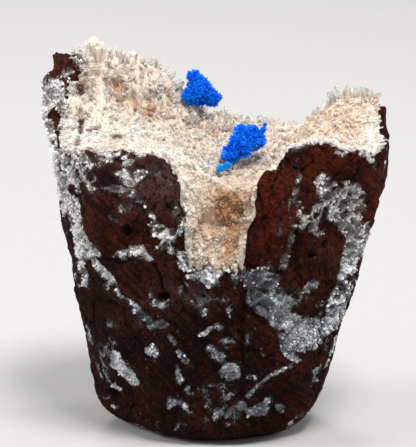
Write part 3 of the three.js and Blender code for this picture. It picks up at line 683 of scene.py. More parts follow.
def zeolite_between_blocks(points):
    """How deep points lie in the zeolite round the sides and the back, and how white it is. It fills seams
    between the breccia's blocks, whose width wanders, and runs a little way down from the rim. It leaves out
    the front and the wall under the bare edges."""
    bent = points + 1.5 * noise(points, 6.0, 14)[..., None]
    _, nearest, second, number = grains(bent, BLOCK_PITCH, BLOCK_SEED)
    seams = np.minimum(BLOCK_SEAM * (1 + 1.6 * noise(points, 11.0, 16)) - (second - nearest) / 2, 0.9)
    angle = np.arctan2(points[..., 1], points[..., 0])
    below_rim = rim_at(angle)[0] - points[..., 2]
    spill = np.minimum(RIM_SPILL * (1 + 1.5 * noise(points, 4.5, 18)) - below_rim, 1.0)
    depth = np.maximum(seams, spill) - 9 * smooth_step(3, 0, points[..., 1])
    return depth - 2 * bareness(angle) * smooth_step(14, 6, below_rim), 0.45 + 0.5 * number


def zeolite(points):
    """How far inside the zeolite points of the wall lie, and how white it is there. Rough noise breaks the
    edge of the strokes and seams, and everywhere there are flecks and hairlines: where a noise is high, or
    passes through zero. Gaps are darker, and the sunk pockets darker still, as painted shade."""
    depth, white, ragged = painted_zeolite(points)
    around, white_around = zeolite_between_blocks(points)
    white = np.where(around > depth, white_around, white)
    break_up = rough_noise(points, 2.4, 4, 17) + 0.5 * facets(points, 1.2, 37)
    depth = np.maximum(depth, around) - SEAM_LOSS + SEAM_BREAK * ragged * break_up
    gaps = smooth_step(-0.55, 0.1, noise(points, 1.7, 39) + 0.3 * noise(points, 0.8, 40))
    white = np.clip(white + 0.3 * rough_noise(points, 2.6, 3, 38), 0, 1)
    # dark pockets: painted shade in the sunk hollows, carried on to the seams' crystals
    white = white * mix(0.4, 1, gaps) * mix(1.4, 0.12, pockets(points) * smooth_step(0.4, 0.8, ragged))
    flecks = 1.4 * noise(points, 1.5, 81) + 0.4 * noise(points, 7.0, 82) - FLECK_LEVEL
    lines = mix(-0.9, HAIRLINE_WIDTH, smooth_step(0.1, 0.35, noise(points, 8.0, 114)))
    lines = lines - 1.2 * np.abs(noise(points, 9.0, 123) + 0.4 * noise(points, 2.5, 163))
    return np.maximum(np.maximum(depth, flecks), lines), white


def crack_depth(points):
    """Depth of the dark cracks, from 0 to 1: the drawn ones in front, and thin ones between small blocks
    that show only here and there."""
    bent = points + 0.5 * np.stack([noise(points, 2.0, seed) for seed in (85, 86, 87)], axis=-1)
    strokes = [stroke_depth(bent[..., 0], bent[..., 2], stroke) for stroke in CRACKS.values()]
    front = np.where(points[..., 1] > 2, OUTSIDE, np.max(strokes, axis=0))
    bent = points + noise(points, 3.0, 88)[..., None]
    _, nearest, second, _ = grains(bent, SMALL_BLOCK_PITCH, SMALL_BLOCK_SEED)
    between = mix(-1.0, BLOCK_CRACK, smooth_step(0.0, 0.35, noise(points, 8.0, 90))) - (second - nearest) / 2
    return smooth_step(-0.15, 0.2, np.maximum(front, between))


def patches(x, z, parts):
    """Strongest of several oval patches of the wall, each given by X, Z, wide, high and amount."""
    return ovals(x, z, parts, 1.5)


def bubble_depth(points):
    """Depth of the open bubbles: each a bowl, one less the squared distance as a share of its spread."""
    depth = np.zeros(points.shape[:-1])
    for x, z, wide, high, deep in OPEN_BUBBLES:
        away = ((points[..., 0] - x) / wide) ** 2 + ((points[..., 2] - z) / high) ** 2
        depth = np.maximum(depth, deep * np.clip(1.3 * (1 - away), 0, 1) * (points[..., 1] < 0))
    return depth


def rock_relief(points, depth):
    """How far the broken face stands out: rough noise and flat chips of four sizes on the basalt, packed
    crystals that lie a little deeper in the zeolite, and the cracks and open bubbles."""
    filled = smooth_step(-0.2, 0.25, depth)
    rough = 0.16 * rough_noise(points, 5.2, 5, 21)
    chips = sum(rise * facets(points, pitch, seed) for rise, pitch, seed in ROCK_CHIPS)
    broken = rough + chips + hackles(points) - CRACK_DEPTH * crack_depth(points)
    swell = 0.35 * noise(points, 2.3, 35)
    druse = -0.2 + 0.28 * facets(points, 1.0, 31) + swell + 0.12 * facets(points, 0.6, 36)
    return mix(broken, druse - POCKET_DEPTH * pockets(points), filled) - bubble_depth(points)


def hackles(points):
    """Slanting fine ridges of the broken face: noise drawn out along one direction and short across it."""
    slant = math.radians(HACKLE_SLANT)
    across = points[..., 0] * math.sin(slant) + points[..., 2] * math.cos(slant)
    along = points[..., 0] * math.cos(slant) - points[..., 2] * math.sin(slant)
    lines = noise(np.stack([across, 0.12 * along, 0.12 * points[..., 1]], axis=-1), 0.8, 27)
    return HACKLE_RISE * lines * smooth_step(-0.2, 0.4, noise(points, 13.0, 28))


def wandered(points):
    """Points of the rock and the crust, moved a little where their edges wander: by noise along every axis,
    and by the pushes to the side."""
    moved = points.copy()
    astray = np.stack([rough_noise(points, 3.0, 2, seed) for seed in (101, 104, 107)], axis=-1)
    for x, y, z, reach, amount in WANDERS:
        near = hill(np.linalg.norm(points - [x, y, z], axis=-1) / reach, 0, 1.5)
        moved += amount * near[..., None] * astray
    for x, y, z, reach, push in PUSHES:
        moved[..., 0] += push * hill(np.linalg.norm(points - [x, y, z], axis=-1) / reach, 0)
    return moved


def rough_wall(angle, z):
    """Points of the broken wall in given directions at given heights, how deep in zeolite they lie, and how
    white it is."""
    radius = wall_radius(angle, z)
    outwards = outwards_at(angle)
    points = outwards * radius[..., None]
    points[..., 2] = z
    depth, white = zeolite(points)
    foot = smooth_step(0, 2.0, z)
    return points + outwards * (foot * rock_relief(points, depth))[..., None], depth, white


def wall_surface(angle, z):
    """The broken wall, with its edges wandering."""
    points, depth, white = rough_wall(angle, z)
    return wandered(points), depth, white


def top_surface(angle, inwards):
    """Points of the finished rock top, a share of the way out to the rim, how deep in zeolite they lie, and
    how white it is."""
    rim, _, _ = rough_wall(angle, rim_at(angle)[0] + rim_jags(angle))
    x = rim[..., 0] * inwards
    y = rim[..., 1] * inwards
    flat = np.stack([x, y, rim[..., 2]], axis=-1)
    depth, white = zeolite(flat)
    height = rock_height(x, y, angle, inwards) - ROCK_SUNK + rock_relief(flat, depth)
    blended = mix(rim[..., 2], height, smooth_step(1.0, 0.94, inwards))
    return wandered(np.stack([x, y, blended], axis=-1)), depth, white


def rim_jags(angle):
    """Height of the steps along the rock's top edge: flat facets and noise at places round a circle."""
    place = 20 * outwards_at(angle)
    return RIM_JAGS * (0.7 * facets(place, 2.0, 45) + noise(place, 3.0, 46))


# ---- meshes --------------------------------------------------------------------------------------


def new_object(name, data):
    """A new object in the scene."""
    thing = bpy.data.objects.new(name, data)
    bpy.context.scene.collection.objects.link(thing)
    return thing


def new_piece(name, points, triangles, material, node, attributes=None, flat=True):
    """A mesh from points in millimetres and triangles of point numbers, placed in the frame on its body.
    Each attribute gives one value to every point."""
    mesh = bpy.data.meshes.new(name)
    mesh.vertices.add(len(points))
    mesh.vertices.foreach_set("co", ((points + CENTRE_SHIFT) * MM).astype(np.float32).ravel())
    mesh.loops.add(3 * len(triangles))
    mesh.loops.foreach_set("vertex_index", triangles.astype(np.int32).ravel())
    mesh.polygons.add(len(triangles))
    mesh.polygons.foreach_set("loop_start", np.arange(0, 3 * len(triangles), 3, dtype=np.int32))
    mesh.update(calc_edges=True)
    for label, values in (attributes or {}).items():
        layer = mesh.attributes.new(label, "FLOAT", "POINT")
        layer.data.foreach_set("value", np.asarray(values, dtype=np.float32).ravel())
    if flat:
        mesh.shade_flat()
    else:
        mesh.shade_smooth()
    mesh.materials.append(material)
    piece = new_object(name, mesh)
    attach(piece, "root")
    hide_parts(node)


def ring_triangles(rows, columns):
    """Triangles of a closed surface: rows of points all round, joined row to row, with the first and the
    last row closed onto the two points that follow the rows."""
    column = np.arange(columns)
    after = (column + 1) % columns
    low = np.arange(rows - 1)[:, None] * columns
    a, b, c, d = low + column, low + after, low + columns + after, low + columns + column
    sides = np.concatenate([np.stack([a, b, c], axis=-1), np.stack([a, c, d], axis=-1)]).reshape(-1, 3)
    first = np.full(columns, rows * columns)
    last = first + 1
    top = (rows - 1) * columns
    closed = np.concatenate([
        np.stack([first, after, column], axis=-1),
        np.stack([last, top + column, top + after], axis=-1),
    ])
    return np.concatenate([sides, closed])


def golden_turns(count):
    """Angles of a spiral, each the golden angle past the one before."""
    return np.arange(count) * math.pi * (3 - math.sqrt(5))


def unit(vectors):
    """Vectors at length 1."""
    return vectors / np.maximum(np.linalg.norm(vectors, axis=-1, keepdims=True), 1e-9)


def planted(shape, feet, along, sizes, spins):
    """Copies of one small crystal. Its points are measured across, through and along it. Each copy stretches
    them by its three sizes, turns its length to a direction, spins about it and stands on its foot."""
    corners, triangles = shape
    helper = np.where(np.abs(along[:, 2:]) < 0.9, [[0.0, 0.0, 1.0]], [[1.0, 0.0, 0.0]])
    side = unit(np.cross(helper, along))
    through = np.cross(along, side)
    across = side * np.cos(spins)[:, None] + through * np.sin(spins)[:, None]
    axes = np.stack([across, np.cross(along, across), along], axis=1)
    points = feet[:, None, :] + np.einsum("pk,nk,nkj->npj", corners, sizes, axes)
    numbers = triangles[None] + (np.arange(len(feet)) * len(corners))[:, None, None]
    return points.reshape(-1, 3), numbers.reshape(-1, 3)


def each_corner(shape, count, **values):
    """Values for every corner of planted crystals, each given per crystal or as one value for them all."""
    return {name: np.repeat(np.broadcast_to(value, count), len(shape[0])) for name, value in values.items()}


def corner_values(shape, count, **values):
    """The same, with how far up its crystal every corner lies, from 0 at the foot to 1 at the tip."""
    rise = np.tile(np.clip(shape[0][:, 2], 0, 1), count)
    return {"rise": rise} | each_corner(shape, count, **values)


# A crystal: four corners at the foot, four at the shoulder and a ridge of two at the tip, faces outwards.
CRYSTAL_TRIANGLES = np.array([
    [0, 2, 1], [0, 3, 2], [0, 1, 5], [0, 5, 4], [1, 2, 6], [1, 6, 5], [2, 3, 7], [2, 7, 6],
    [3, 0, 4], [3, 4, 7], [4, 5, 9], [4, 9, 8], [6, 7, 8], [6, 8, 9], [5, 6, 9], [7, 4, 8],
])


def crystal_shape(shoulder, ridge, foot):
    """A crystal of width, thickness and length 1: a four-cornered foot, a full-width shoulder at a share of
    the length, and a ridge across the tip that keeps a share of the width."""
    square = np.array([[-0.5, -0.5], [0.5, -0.5], [0.5, 0.5], [-0.5, 0.5]])
    corners = np.vstack([
        np.column_stack([square * foot, np.zeros(4)]),
        np.column_stack([square, np.full(4, shoulder)]),
        [[-0.5 * ridge, 0, 1], [0.5 * ridge, 0, 1]],
    ])
    return corners, CRYSTAL_TRIANGLES


BLADE = crystal_shape(shoulder=0.78, ridge=0.42, foot=0.75)
GRAIN = crystal_shape(shoulder=0.6, ridge=0.3, foot=0.8)
NEEDLE = crystal_shape(shoulder=0.7, ridge=0.15, foot=0.5)
BLUNT = crystal_shape(shoulder=0.86, ridge=0.7, foot=0.8)

# ---- node helpers --------------------------------------------------------------------------------


def add_node(tree, kind, inputs=None, **settings):
    """Adds a node to a tree. An input is a constant, or another node's output, which is linked."""
    node = tree.nodes.new(kind)
    for name, value in settings.items():
        setattr(node, name, value)
    for name, value in (inputs or {}).items():
        if isinstance(value, bpy.types.NodeSocket):
            tree.links.new(value, node.inputs[name])
        else:
            node.inputs[name].default_value = value
    return node


def maths(tree, operation, first, second=0.0, clamp=False):
    """The result of a sum on two values."""
    values = {0: first, 1: second}
    return add_node(tree, "ShaderNodeMath", values, operation=operation, use_clamp=clamp).outputs[0]


def mix_value(tree, share, low, high):
    """A value between two by a share."""
    return add_node(tree, "ShaderNodeMix", {0: share, 2: low, 3: high}).outputs[0]


def blend(tree, share, low, high):
    """A colour between two, each a constant or a socket."""
    node = add_node(tree, "ShaderNodeMix", data_type="RGBA")
    for name, value in ((0, share), (6, low), (7, high)):
        if isinstance(value, bpy.types.NodeSocket):
            tree.links.new(value, node.inputs[name])
        else:
            node.inputs[name].default_value = value if name == 0 else (*value, 1.0)
    return node.outputs[2]


def laid_over(tree, colour, over, mask, amount):
    """A colour with another laid over it by an amount, where a mask is 1."""
    return blend(tree, maths(tree, "MULTIPLY", mask, amount), colour, over)


def spread(tree, value, low, high, to_low=0.0, to_high=1.0):
    """A value stretched from one range to another, with an S-shaped rise."""
    ranges = {0: value, 1: low, 2: high, 3: to_low, 4: to_high}
    return add_node(tree, "ShaderNodeMapRange", ranges, interpolation_type="SMOOTHSTEP").outputs[0]


def attribute(tree, name):
    """A value stored on the piece's points."""
    return add_node(tree, "ShaderNodeAttribute", attribute_name=name).outputs["Fac"]


def object_place(tree):
    """Place of a point of the surface on its piece, in metres."""
    return add_node(tree, "ShaderNodeTexCoord").outputs["Object"]


def noise_node(tree, where, scale, detail):
    """A noise from 0 to 1 over the surface."""
    values = {"Vector": where, "Scale": scale, "Detail": detail}
    return add_node(tree, "ShaderNodeTexNoise", values).outputs[0]


def new_group(name, inputs, outputs):
    """A shader node group with float inputs and their defaults, and float outputs."""
    group = bpy.data.node_groups.new(name, "ShaderNodeTree")
    for label, value in inputs.items():
        socket = group.interface.new_socket(label, in_out="INPUT", socket_type="NodeSocketFloat")
        socket.default_value = value
    for label in outputs:
        group.interface.new_socket(label, in_out="OUTPUT", socket_type="NodeSocketFloat")
    return group, group.nodes.new("NodeGroupInput"), group.nodes.new("NodeGroupOutput")


def use_group(tree, group, **inputs):
    """The result of a node group, placed in a tree with its own values."""
    return add_node(tree, "ShaderNodeGroup", inputs, node_tree=group).outputs[0]


def mottle_group():
    """Tone from 0 to 1 that wanders broadly and finely over a piece: two noises, weighed by Fineness."""
    group, given, out = new_group("Mottle", {"Broad": 90.0, "Fine": 900.0, "Fineness": 0.4}, ["Tone"])
    where = object_place(group)
    broad = noise_node(group, where, given.outputs["Broad"], 4.0)
    fine = noise_node(group, where, given.outputs["Fine"], 6.0)
    both = mix_value(group, given.outputs["Fineness"], broad, fine)
    group.links.new(spread(group, both, 0.33, 0.67), out.inputs["Tone"])
    return group


def speck_group():
    """Mask of scattered specks: the parts of a cell pattern that lie within Size of their cell's centre,
    where the cell's drawn number is below Share."""
    group, given, out = new_group("Specks", {"Scale": 900.0, "Size": 0.3, "Share": 0.3}, ["Mask"])
    where = object_place(group)
    cells = add_node(group, "ShaderNodeTexVoronoi", {"Vector": where, "Scale": given.outputs["Scale"]})
    number = add_node(group, "ShaderNodeSeparateColor", {0: cells.outputs["Color"]}).outputs[0]
    kept = maths(group, "LESS_THAN", number, given.outputs["Share"])
    edge = maths(group, "MULTIPLY", given.outputs["Size"], 0.7)
    ranges = {0: cells.outputs["Distance"], 1: given.outputs["Size"], 2: edge}
    inside = add_node(group, "ShaderNodeMapRange", ranges).outputs[0]
    group.links.new(maths(group, "MULTIPLY", inside, kept), out.inputs["Mask"])
    return group


def crystal_grain_group():
    """Height of tiny packed crystals: the distance to the nearest centre of a cell pattern, over a noise."""
    group, given, out = new_group("Crystal grain", {"Scale": 1500.0, "Roughness": 0.5}, ["Height"])
    where = object_place(group)
    cells = add_node(group, "ShaderNodeTexVoronoi", {"Vector": where, "Scale": given.outputs["Scale"]})
    rough = noise_node(group, where, given.outputs["Scale"], 5.0)
    part = maths(group, "MULTIPLY", rough, given.outputs["Roughness"])
    group.links.new(maths(group, "ADD", cells.outputs["Distance"], part), out.inputs["Height"])
    return group


MOTTLE = mottle_group()
SPECKS = speck_group()
CRYSTAL_GRAIN = crystal_grain_group()


def new_material(name, **constants):
    """A material and its Principled shader, with constants set on the shader's own sockets."""
    material = bpy.data.materials.new(name)
    material.use_nodes = True
    shader = material.node_tree.nodes["Principled BSDF"]
    for label, value in constants.items():
        shader.inputs[label.replace("_", " ")].default_value = value
    return material, material.node_tree, shader


def add_bump(tree, shader, height, strength, distance):
    """Roughens a shader's surface by a height, over a distance in metres."""
    bump = add_node(tree, "ShaderNodeBump", {"Height": height, "Strength": strength, "Distance": distance})
    tree.links.new(bump.outputs[0], shader.inputs["Normal"])


def grain_bump(tree, shader, scale, roughness, strength, distance):
    """Roughens a shader's surface with tiny packed crystals."""
    grain = use_group(tree, CRYSTAL_GRAIN, Scale=scale, Roughness=roughness)
    add_bump(tree, shader, grain, strength, distance)


# ---- finishes ------------------------------------------------------------------------------------

BROWN = (0.056, 0.0155, 0.0095)
DARK_BROWN = (0.0100, 0.0034, 0.0026)
BRICK_RED = (0.125, 0.022, 0.0095)
DEEP_RED = (0.026, 0.005, 0.003)
PURPLE_BROWN = (0.118, 0.057, 0.059)
DARK_PURPLE = (0.022, 0.011, 0.012)
NEAR_BLACK = (0.007, 0.0042, 0.004)
ZEOLITE_WHITE = (0.77, 0.79, 0.82)
GRAIN_WHITE = (0.87, 0.89, 0.92)
GRAIN_GREY = (0.14, 0.155, 0.175)
ZEOLITE_BEIGE = (0.80, 0.66, 0.54)
ZEOLITE_GREY = (0.105, 0.115, 0.13)
ZEOLITE_DUN = (0.15, 0.10, 0.075)
SPECK_BROWN = (0.12, 0.09, 0.08)
BED_CREAM = (0.80, 0.74, 0.665)
# The bed's peach, darker than the blades': partly its own colour, partly painted shade on the right heap's
# upward-facing top.
BED_PEACH_AND_SHADE = (0.58, 0.445, 0.34)
BLADE_CREAM = (0.95, 0.92, 0.87)
BLADE_PEACH = (0.78, 0.65, 0.53)
# Colour at the crystals' roots and on the bed's low facets: partly their own warmer colour, partly painted
# shade deep in the crust.
STILBITE_ROOT_AND_SHADE = (0.95, 0.74, 0.56)
STAIN_BROWN = (0.40, 0.19, 0.075)
CLEAR_CREAM = (0.97, 0.94, 0.90)
CLEAR_WHITE = (1.0, 0.99, 0.97)
# Cavansite: the deep blue at the roots is painted shade inside the rosettes and the azure at the tips
# painted light; the vivid blue lies between, and the pale azure is the sprig's own.
DEEP_BLUE_SHADE = (0.001, 0.045, 0.62)
VIVID_BLUE = (0.001, 0.15, 1.0)
AZURE_TIP_LIGHT = (0.004, 0.42, 1.0)
PALE_AZURE = (0.02, 0.62, 0.95)
WARM_HEIGHTS = (0.032, 0.046)  # metres: the zeolite is cool below the first and warm above the second

# Specks on the basalt: scale of their cells, size and share of them, how strong they are, and their colour.
BASALT_SPECKS = (
    (1000.0, 0.55, 0.35, 0.7, NEAR_BLACK),
    (2200.0, 0.5, 0.25, 0.35, BRICK_RED),
    (800.0, 0.22, 0.08, 0.7, ZEOLITE_GREY),
)


def zeolite_colour(tree, white, grey, bright):
    """Colour of the seams' crystals, from a grey to a white by their whiteness. High up, the grey turns dun
    and the white turns beige in places."""
    height = add_node(tree, "ShaderNodeSeparateXYZ", {0: object_place(tree)}).outputs[2]
    patchy = use_group(tree, MOTTLE, Broad=170.0, Fine=600.0, Fineness=0.4)
    warm = maths(tree, "MULTIPLY", mix_value(tree, patchy, 0.3, 1.0), spread(tree, height, *WARM_HEIGHTS))
    pale = laid_over(tree, bright, ZEOLITE_BEIGE, warm, 0.4)
    dim = laid_over(tree, grey, ZEOLITE_DUN, warm, 0.8)
    return blend(tree, white, dim, pale)


def basalt_material():
    """Brown basalt that turns brick-red, purple or dark in places, with dark grains, pale specks and fine
    scratches, and rough zeolite from clear grey to white where the seams are. Part of the dark is painted
    shade, under the right brow and towards the foot, with painted shadow in the bubbles and cracks, and the
    right brow's red is partly painted light."""
    material, tree, shader = new_material("basalt", Specular_IOR_Level=0.02)
    tone = use_group(tree, MOTTLE, Broad=140.0, Fine=1500.0, Fineness=0.5)
    fine = use_group(tree, MOTTLE, Broad=900.0, Fine=3200.0, Fineness=0.5)
    colour = blend(tree, tone, DARK_BROWN, BROWN)
    colour = blend(tree, attribute(tree, "redness"), colour, blend(tree, tone, DEEP_RED, BRICK_RED))
    colour = blend(tree, attribute(tree, "purple"), colour, blend(tree, fine, PURPLE_BROWN, DARK_PURPLE))
    # dark parts: partly the rock's own dark, partly painted shade under the right brow and towards the foot
    colour = laid_over(tree, colour, NEAR_BLACK, attribute(tree, "dark_and_shade"), 0.85)
    for scale, size, share, amount, over in BASALT_SPECKS:
        mask = use_group(tree, SPECKS, Scale=scale, Size=size, Share=share)
        colour = laid_over(tree, colour, over, mask, amount)
    streaks = scratches(tree)
    colour = laid_over(tree, colour, NEAR_BLACK, streaks, 0.75)
    edge = maths(tree, "MULTIPLY", maths(tree, "SUBTRACT", fine, 0.5), 0.45)
    depth = maths(tree, "ADD", attribute(tree, "zeolite"), edge)
    film = spread(tree, depth, -0.4, 0.1, 0.0, 0.22)
    colour = laid_over(tree, colour, ZEOLITE_GREY, film, fine)
    seam = spread(tree, depth, -0.12, 0.3)
    white = maths(tree, "MULTIPLY", attribute(tree, "white"), mix_value(tree, fine, 0.3, 1.15), clamp=True)
    white = maths(tree, "POWER", white, 1.4)
    colour = blend(tree, seam, colour, zeolite_colour(tree, white, ZEOLITE_GREY, ZEOLITE_WHITE))
    colour = blend(tree, attribute(tree, "shadow"), colour, NEAR_BLACK)
    tree.links.new(colour, shader.inputs["Base Color"])
    tree.links.new(mix_value(tree, seam, 0.75, 0.5), shader.inputs["Roughness"])
    grain = use_group(tree, CRYSTAL_GRAIN, Scale=1600.0, Roughness=0.6)
    height = maths(tree, "ADD", maths(tree, "MULTIPLY", grain, mix_value(tree, seam, 0.5, 1.0)), streaks)
    add_bump(tree, shader, height, 0.9, 0.00035)
    return material


def scratches(tree):
    """Fine slanting lines of the broken face: a noise turned by the hackles' slant and drawn out along it.
    They show in some parts and not in others."""
    where = object_place(tree)
    turn = {"Vector": where, "Rotation": (0, math.radians(HACKLE_SLANT), 0), "Scale": (1.0, 1.0, 0.12)}
    turned = add_node(tree, "ShaderNodeMapping", turn, vector_type="TEXTURE").outputs[0]
    lines = spread(tree, noise_node(tree, turned, 130.0, 2.0), 0.4, 0.6)
    shown = spread(tree, noise_node(tree, where, 70.0, 1.0), 0.4, 0.58)
    return maths(tree, "MULTIPLY", lines, shown)


def zeolite_material():
    """Crystals of the seams, from clear grey to white, greyer in the pockets as painted shade."""
    material, tree, shader = new_material(
        "zeolite grains", IOR=1.5, Roughness=0.5, Subsurface_Weight=0.7, Subsurface_Scale=0.0006,
        Subsurface_Radius=(1.0, 0.95, 0.9),
    )
    white = maths(tree, "POWER", attribute(tree, "white"), 1.4)
    colour = zeolite_colour(tree, white, GRAIN_GREY, GRAIN_WHITE)
    speck = use_group(tree, SPECKS, Scale=1500.0, Size=0.4, Share=0.12)
    tree.links.new(laid_over(tree, colour, SPECK_BROWN, speck, 0.5), shader.inputs["Base Color"])
    grain_bump(tree, shader, 2600.0, 0.8, 0.4, 0.00008)
    return material


def stilbite_material(name, cream, peach, **translucency):
    """Cream to peach crystal that is whiter at its tips and warmer and darker at its roots, partly as
    painted shade deep in the crust, and orange-brown where a gap is stained.
    """
    material, tree, shader = new_material(name, IOR=1.5, Subsurface_Radius=(1.0, 0.92, 0.84), **translucency)
    own = blend(tree, attribute(tree, "tint"), cream, peach)
    # warmer and darker towards the roots: partly painted shade
    colour = blend(tree, attribute(tree, "rise"), blend(tree, 0.3, own, STILBITE_ROOT_AND_SHADE), own)
    colour = blend(tree, attribute(tree, "stain"), colour, STAIN_BROWN)
    tone = use_group(tree, MOTTLE, Broad=300.0, Fine=2500.0, Fineness=0.4)
    colour = laid_over(tree, colour, cream, tone, 0.15)
    colour = blend(tree, attribute(tree, "chip"), colour, PURPLE_BROWN)
    tree.links.new(colour, shader.inputs["Base Color"])
    grain_bump(tree, shader, 2000.0, 1.0, 0.25, 0.00008)
    return material


def clear_stilbite_material():
    """Glass-clear blade with a faint cream cast and fine growth lines."""
    material, tree, shader = new_material("clear stilbite", Transmission_Weight=0.7, IOR=1.5, Roughness=0.2)
    tone = use_group(tree, MOTTLE, Broad=400.0, Fine=2500.0, Fineness=0.5)
    tree.links.new(blend(tree, tone, CLEAR_CREAM, CLEAR_WHITE), shader.inputs["Base Color"])
    grain_bump(tree, shader, 1200.0, 1.0, 0.15, 0.00006)
    return material


def cavansite_material():
    """Vivid blue, deep at the roots as painted shade inside the rosette, and azure at the needles' tips as
    painted light.
    """
    material, tree, shader = new_material("cavansite", Roughness=0.32, Specular_IOR_Level=0.3)
    tone = use_group(tree, MOTTLE, Broad=500.0, Fine=2500.0, Fineness=0.5)
    # painted shade at the roots, painted light at the tips
    deep = blend(tree, tone, DEEP_BLUE_SHADE, VIVID_BLUE)
    tip = spread(tree, attribute(tree, "rise"), 0.5, 1.0)
    colour = blend(tree, tip, deep, blend(tree, tone, VIVID_BLUE, AZURE_TIP_LIGHT))
    colour = blend(tree, attribute(tree, "pale"), colour, PALE_AZURE)
    tree.links.new(colour, shader.inputs["Base Color"])
    grain_bump(tree, shader, 3000.0, 0.6, 0.3, 0.00005)
    return material


BASALT = basalt_material()
ZEOLITE = zeolite_material()
STILBITE_BED = stilbite_material(
    "stilbite bed", BED_CREAM, BED_PEACH_AND_SHADE,
    Roughness=0.4, Subsurface_Weight=0.7, Subsurface_Scale=0.0007,
)
STILBITE = stilbite_material(
    "stilbite", BLADE_CREAM, BLADE_PEACH,
    Roughness=0.2, Transmission_Weight=0.35, Subsurface_Weight=0.6, Subsurface_Scale=0.0008,
)
CLEAR_STILBITE = clear_stilbite_material()
CAVANSITE = cavansite_material()

# ---- basalt block --------------------------------------------------------------------------------

BLOCK_COLUMNS = 480
WALL_ROWS = 170
TOP_ROWS = 34
FRONT_BUNCHING = 0.45  # how much closer together the columns are at the front
WALL_BUNCHING = 1.2  # above 1 the wall's rows are closer together near the foot
TOP_BUNCHING = 1.6  # above 1 the top's rows are closer together near the rim
WALL_TRIES = 60500  # for the seams' crystals, of which those on zeolite are kept
WIDEST_RIM = 34  # radius of the rim at which every try is kept
CORNER_TRIES = 2500
SEAM_CRYSTAL_SIZES = (0.3, 0.75)
SEAM_CRYSTAL_LEAN = 0.55  # away from the direction straight out of the rock, as a share of it
SEAM_CRYSTAL_SUNK = 0.2


def front_bunched(count):
    """Directions all round, closer together at the front: the even angle less a share of its cosine."""
    even = np.linspace(-math.pi, math.pi, count, endpoint=False)
    return even - FRONT_BUNCHING * np.cos(even)


def block_colours(points):
    """How red, purple, dark and shadowed the rock is: the patches of the front wall, of which the dark ones
    are partly painted shade, whole blocks of the breccia behind, a noise over both, and shadow painted in
    the bubbles and cracks."""
    x, y, z = points.T
    front = smooth_step(8, 2, y)
    _, _, _, block = grains(points, BLOCK_PITCH, BLOCK_SEED)
    _, _, _, small_block = grains(points, SMALL_BLOCK_PITCH, SMALL_BLOCK_SEED)
    wander = 0.5 * rough_noise(points, 4.0, 3, 43)
    redness = patches(x, z, RED_PARTS.values()) * front + 0.55 * smooth_step(0.6, 0.9, block) * (1 - front)
    purple = patches(x, z, PURPLE_PARTS.values()) * front
    # the dark parts in front are partly painted shade
    dark_and_shade = patches(x, z, DARK_AND_SHADED_PARTS.values()) * front + 0.7 * smooth_step(0.4, 0.1, block) * (1 - front)
    dark_and_shade = dark_and_shade + 0.35 * (small_block - 0.5)
    return {
        "redness": np.clip(redness * (1 + wander) + 0.12 * wander, 0, 1),
        "purple": np.clip(purple * (1 + wander), 0, 1),
        "dark_and_shade": np.clip(dark_and_shade * (1 + wander) + 0.25 * wander, 0, 1),
        "shadow": np.maximum(smooth_step(0.15, 0.7, bubble_depth(points)), 0.85 * crack_depth(points)),
    }


def basalt_block():
    """The rock: rows of points up the wall from the flat foot to the rim, then in over the top under the
    crust to the middle. A row is a share of the rim's height, or of its radius on the top."""
    angle = front_bunched(BLOCK_COLUMNS)[None, :]
    rim_height, _ = rim_at(angle)
    share = (np.arange(WALL_ROWS)[:, None] / (WALL_ROWS - 1)) ** WALL_BUNCHING
    height = share * rim_height + share**8 * rim_jags(angle)
    wall, wall_depth, wall_white = wall_surface(np.broadcast_to(angle, height.shape), height)
    steps = (np.arange(TOP_ROWS)[:, None] + 1) / (TOP_ROWS + 1)
    inwards = (1 - steps**TOP_BUNCHING) * np.ones(angle.shape)
    top, top_depth, top_white = top_surface(np.broadcast_to(angle, inwards.shape), inwards)
    points = np.concatenate([wall.reshape(-1, 3), top.reshape(-1, 3), [[0, 0, 0], [0, 0, top[-1, 0, 2]]]])
    depth = np.concatenate([wall_depth.ravel(), top_depth.ravel(), [-1, -1]])
    white = np.concatenate([wall_white.ravel(), top_white.ravel(), [0.5, 0.5]])
    new_piece(
        "basalt_block", points, ring_triangles(WALL_ROWS + TOP_ROWS, BLOCK_COLUMNS), BASALT,
        "basalt_matrix", flat=False, attributes=block_colours(points) | {"zeolite": depth, "white": white},
    )


def wall_sites(chance):
    """Points all over the wall, how deep in zeolite they lie, how white it is, and the way out of the
    wall."""
    angle = chance.uniform(-math.pi, math.pi, WALL_TRIES)
    rim_height, rim_radius = rim_at(angle)
    kept = chance.uniform(0, WIDEST_RIM, WALL_TRIES) < rim_radius
    angle = angle[kept]
    z = chance.uniform(0.02, 1, len(angle)) * rim_height[kept]
    feet, depth, white = wall_surface(angle, z)
    step = 0.4
    rise = (wall_radius(angle, z + step) - wall_radius(angle, z - step)) / (2 * step)
    turn = (wall_radius(angle + 0.01, z) - wall_radius(angle - 0.01, z)) / 0.02 / wall_radius(angle, z)
    round_it = np.stack([-np.sin(angle), np.cos(angle), np.zeros(len(angle))], axis=-1)
    normal = outwards_at(angle) - turn[:, None] * round_it - rise[:, None] * [[0, 0, 1]]
    return feet, depth, white, unit(normal)


def corner_sites(chance):
    """The same on the bare top of the left corner."""
    azimuth, spread_angle, bare_from = BARE_EDGES["left corner"]
    angle = np.radians(azimuth + 1.5 * spread_angle * chance.uniform(-1, 1, CORNER_TRIES))
    feet, depth, white = top_surface(angle, chance.uniform(bare_from, 1, CORNER_TRIES))
    return feet, depth, white, crust_normal(feet[:, 0], feet[:, 1])


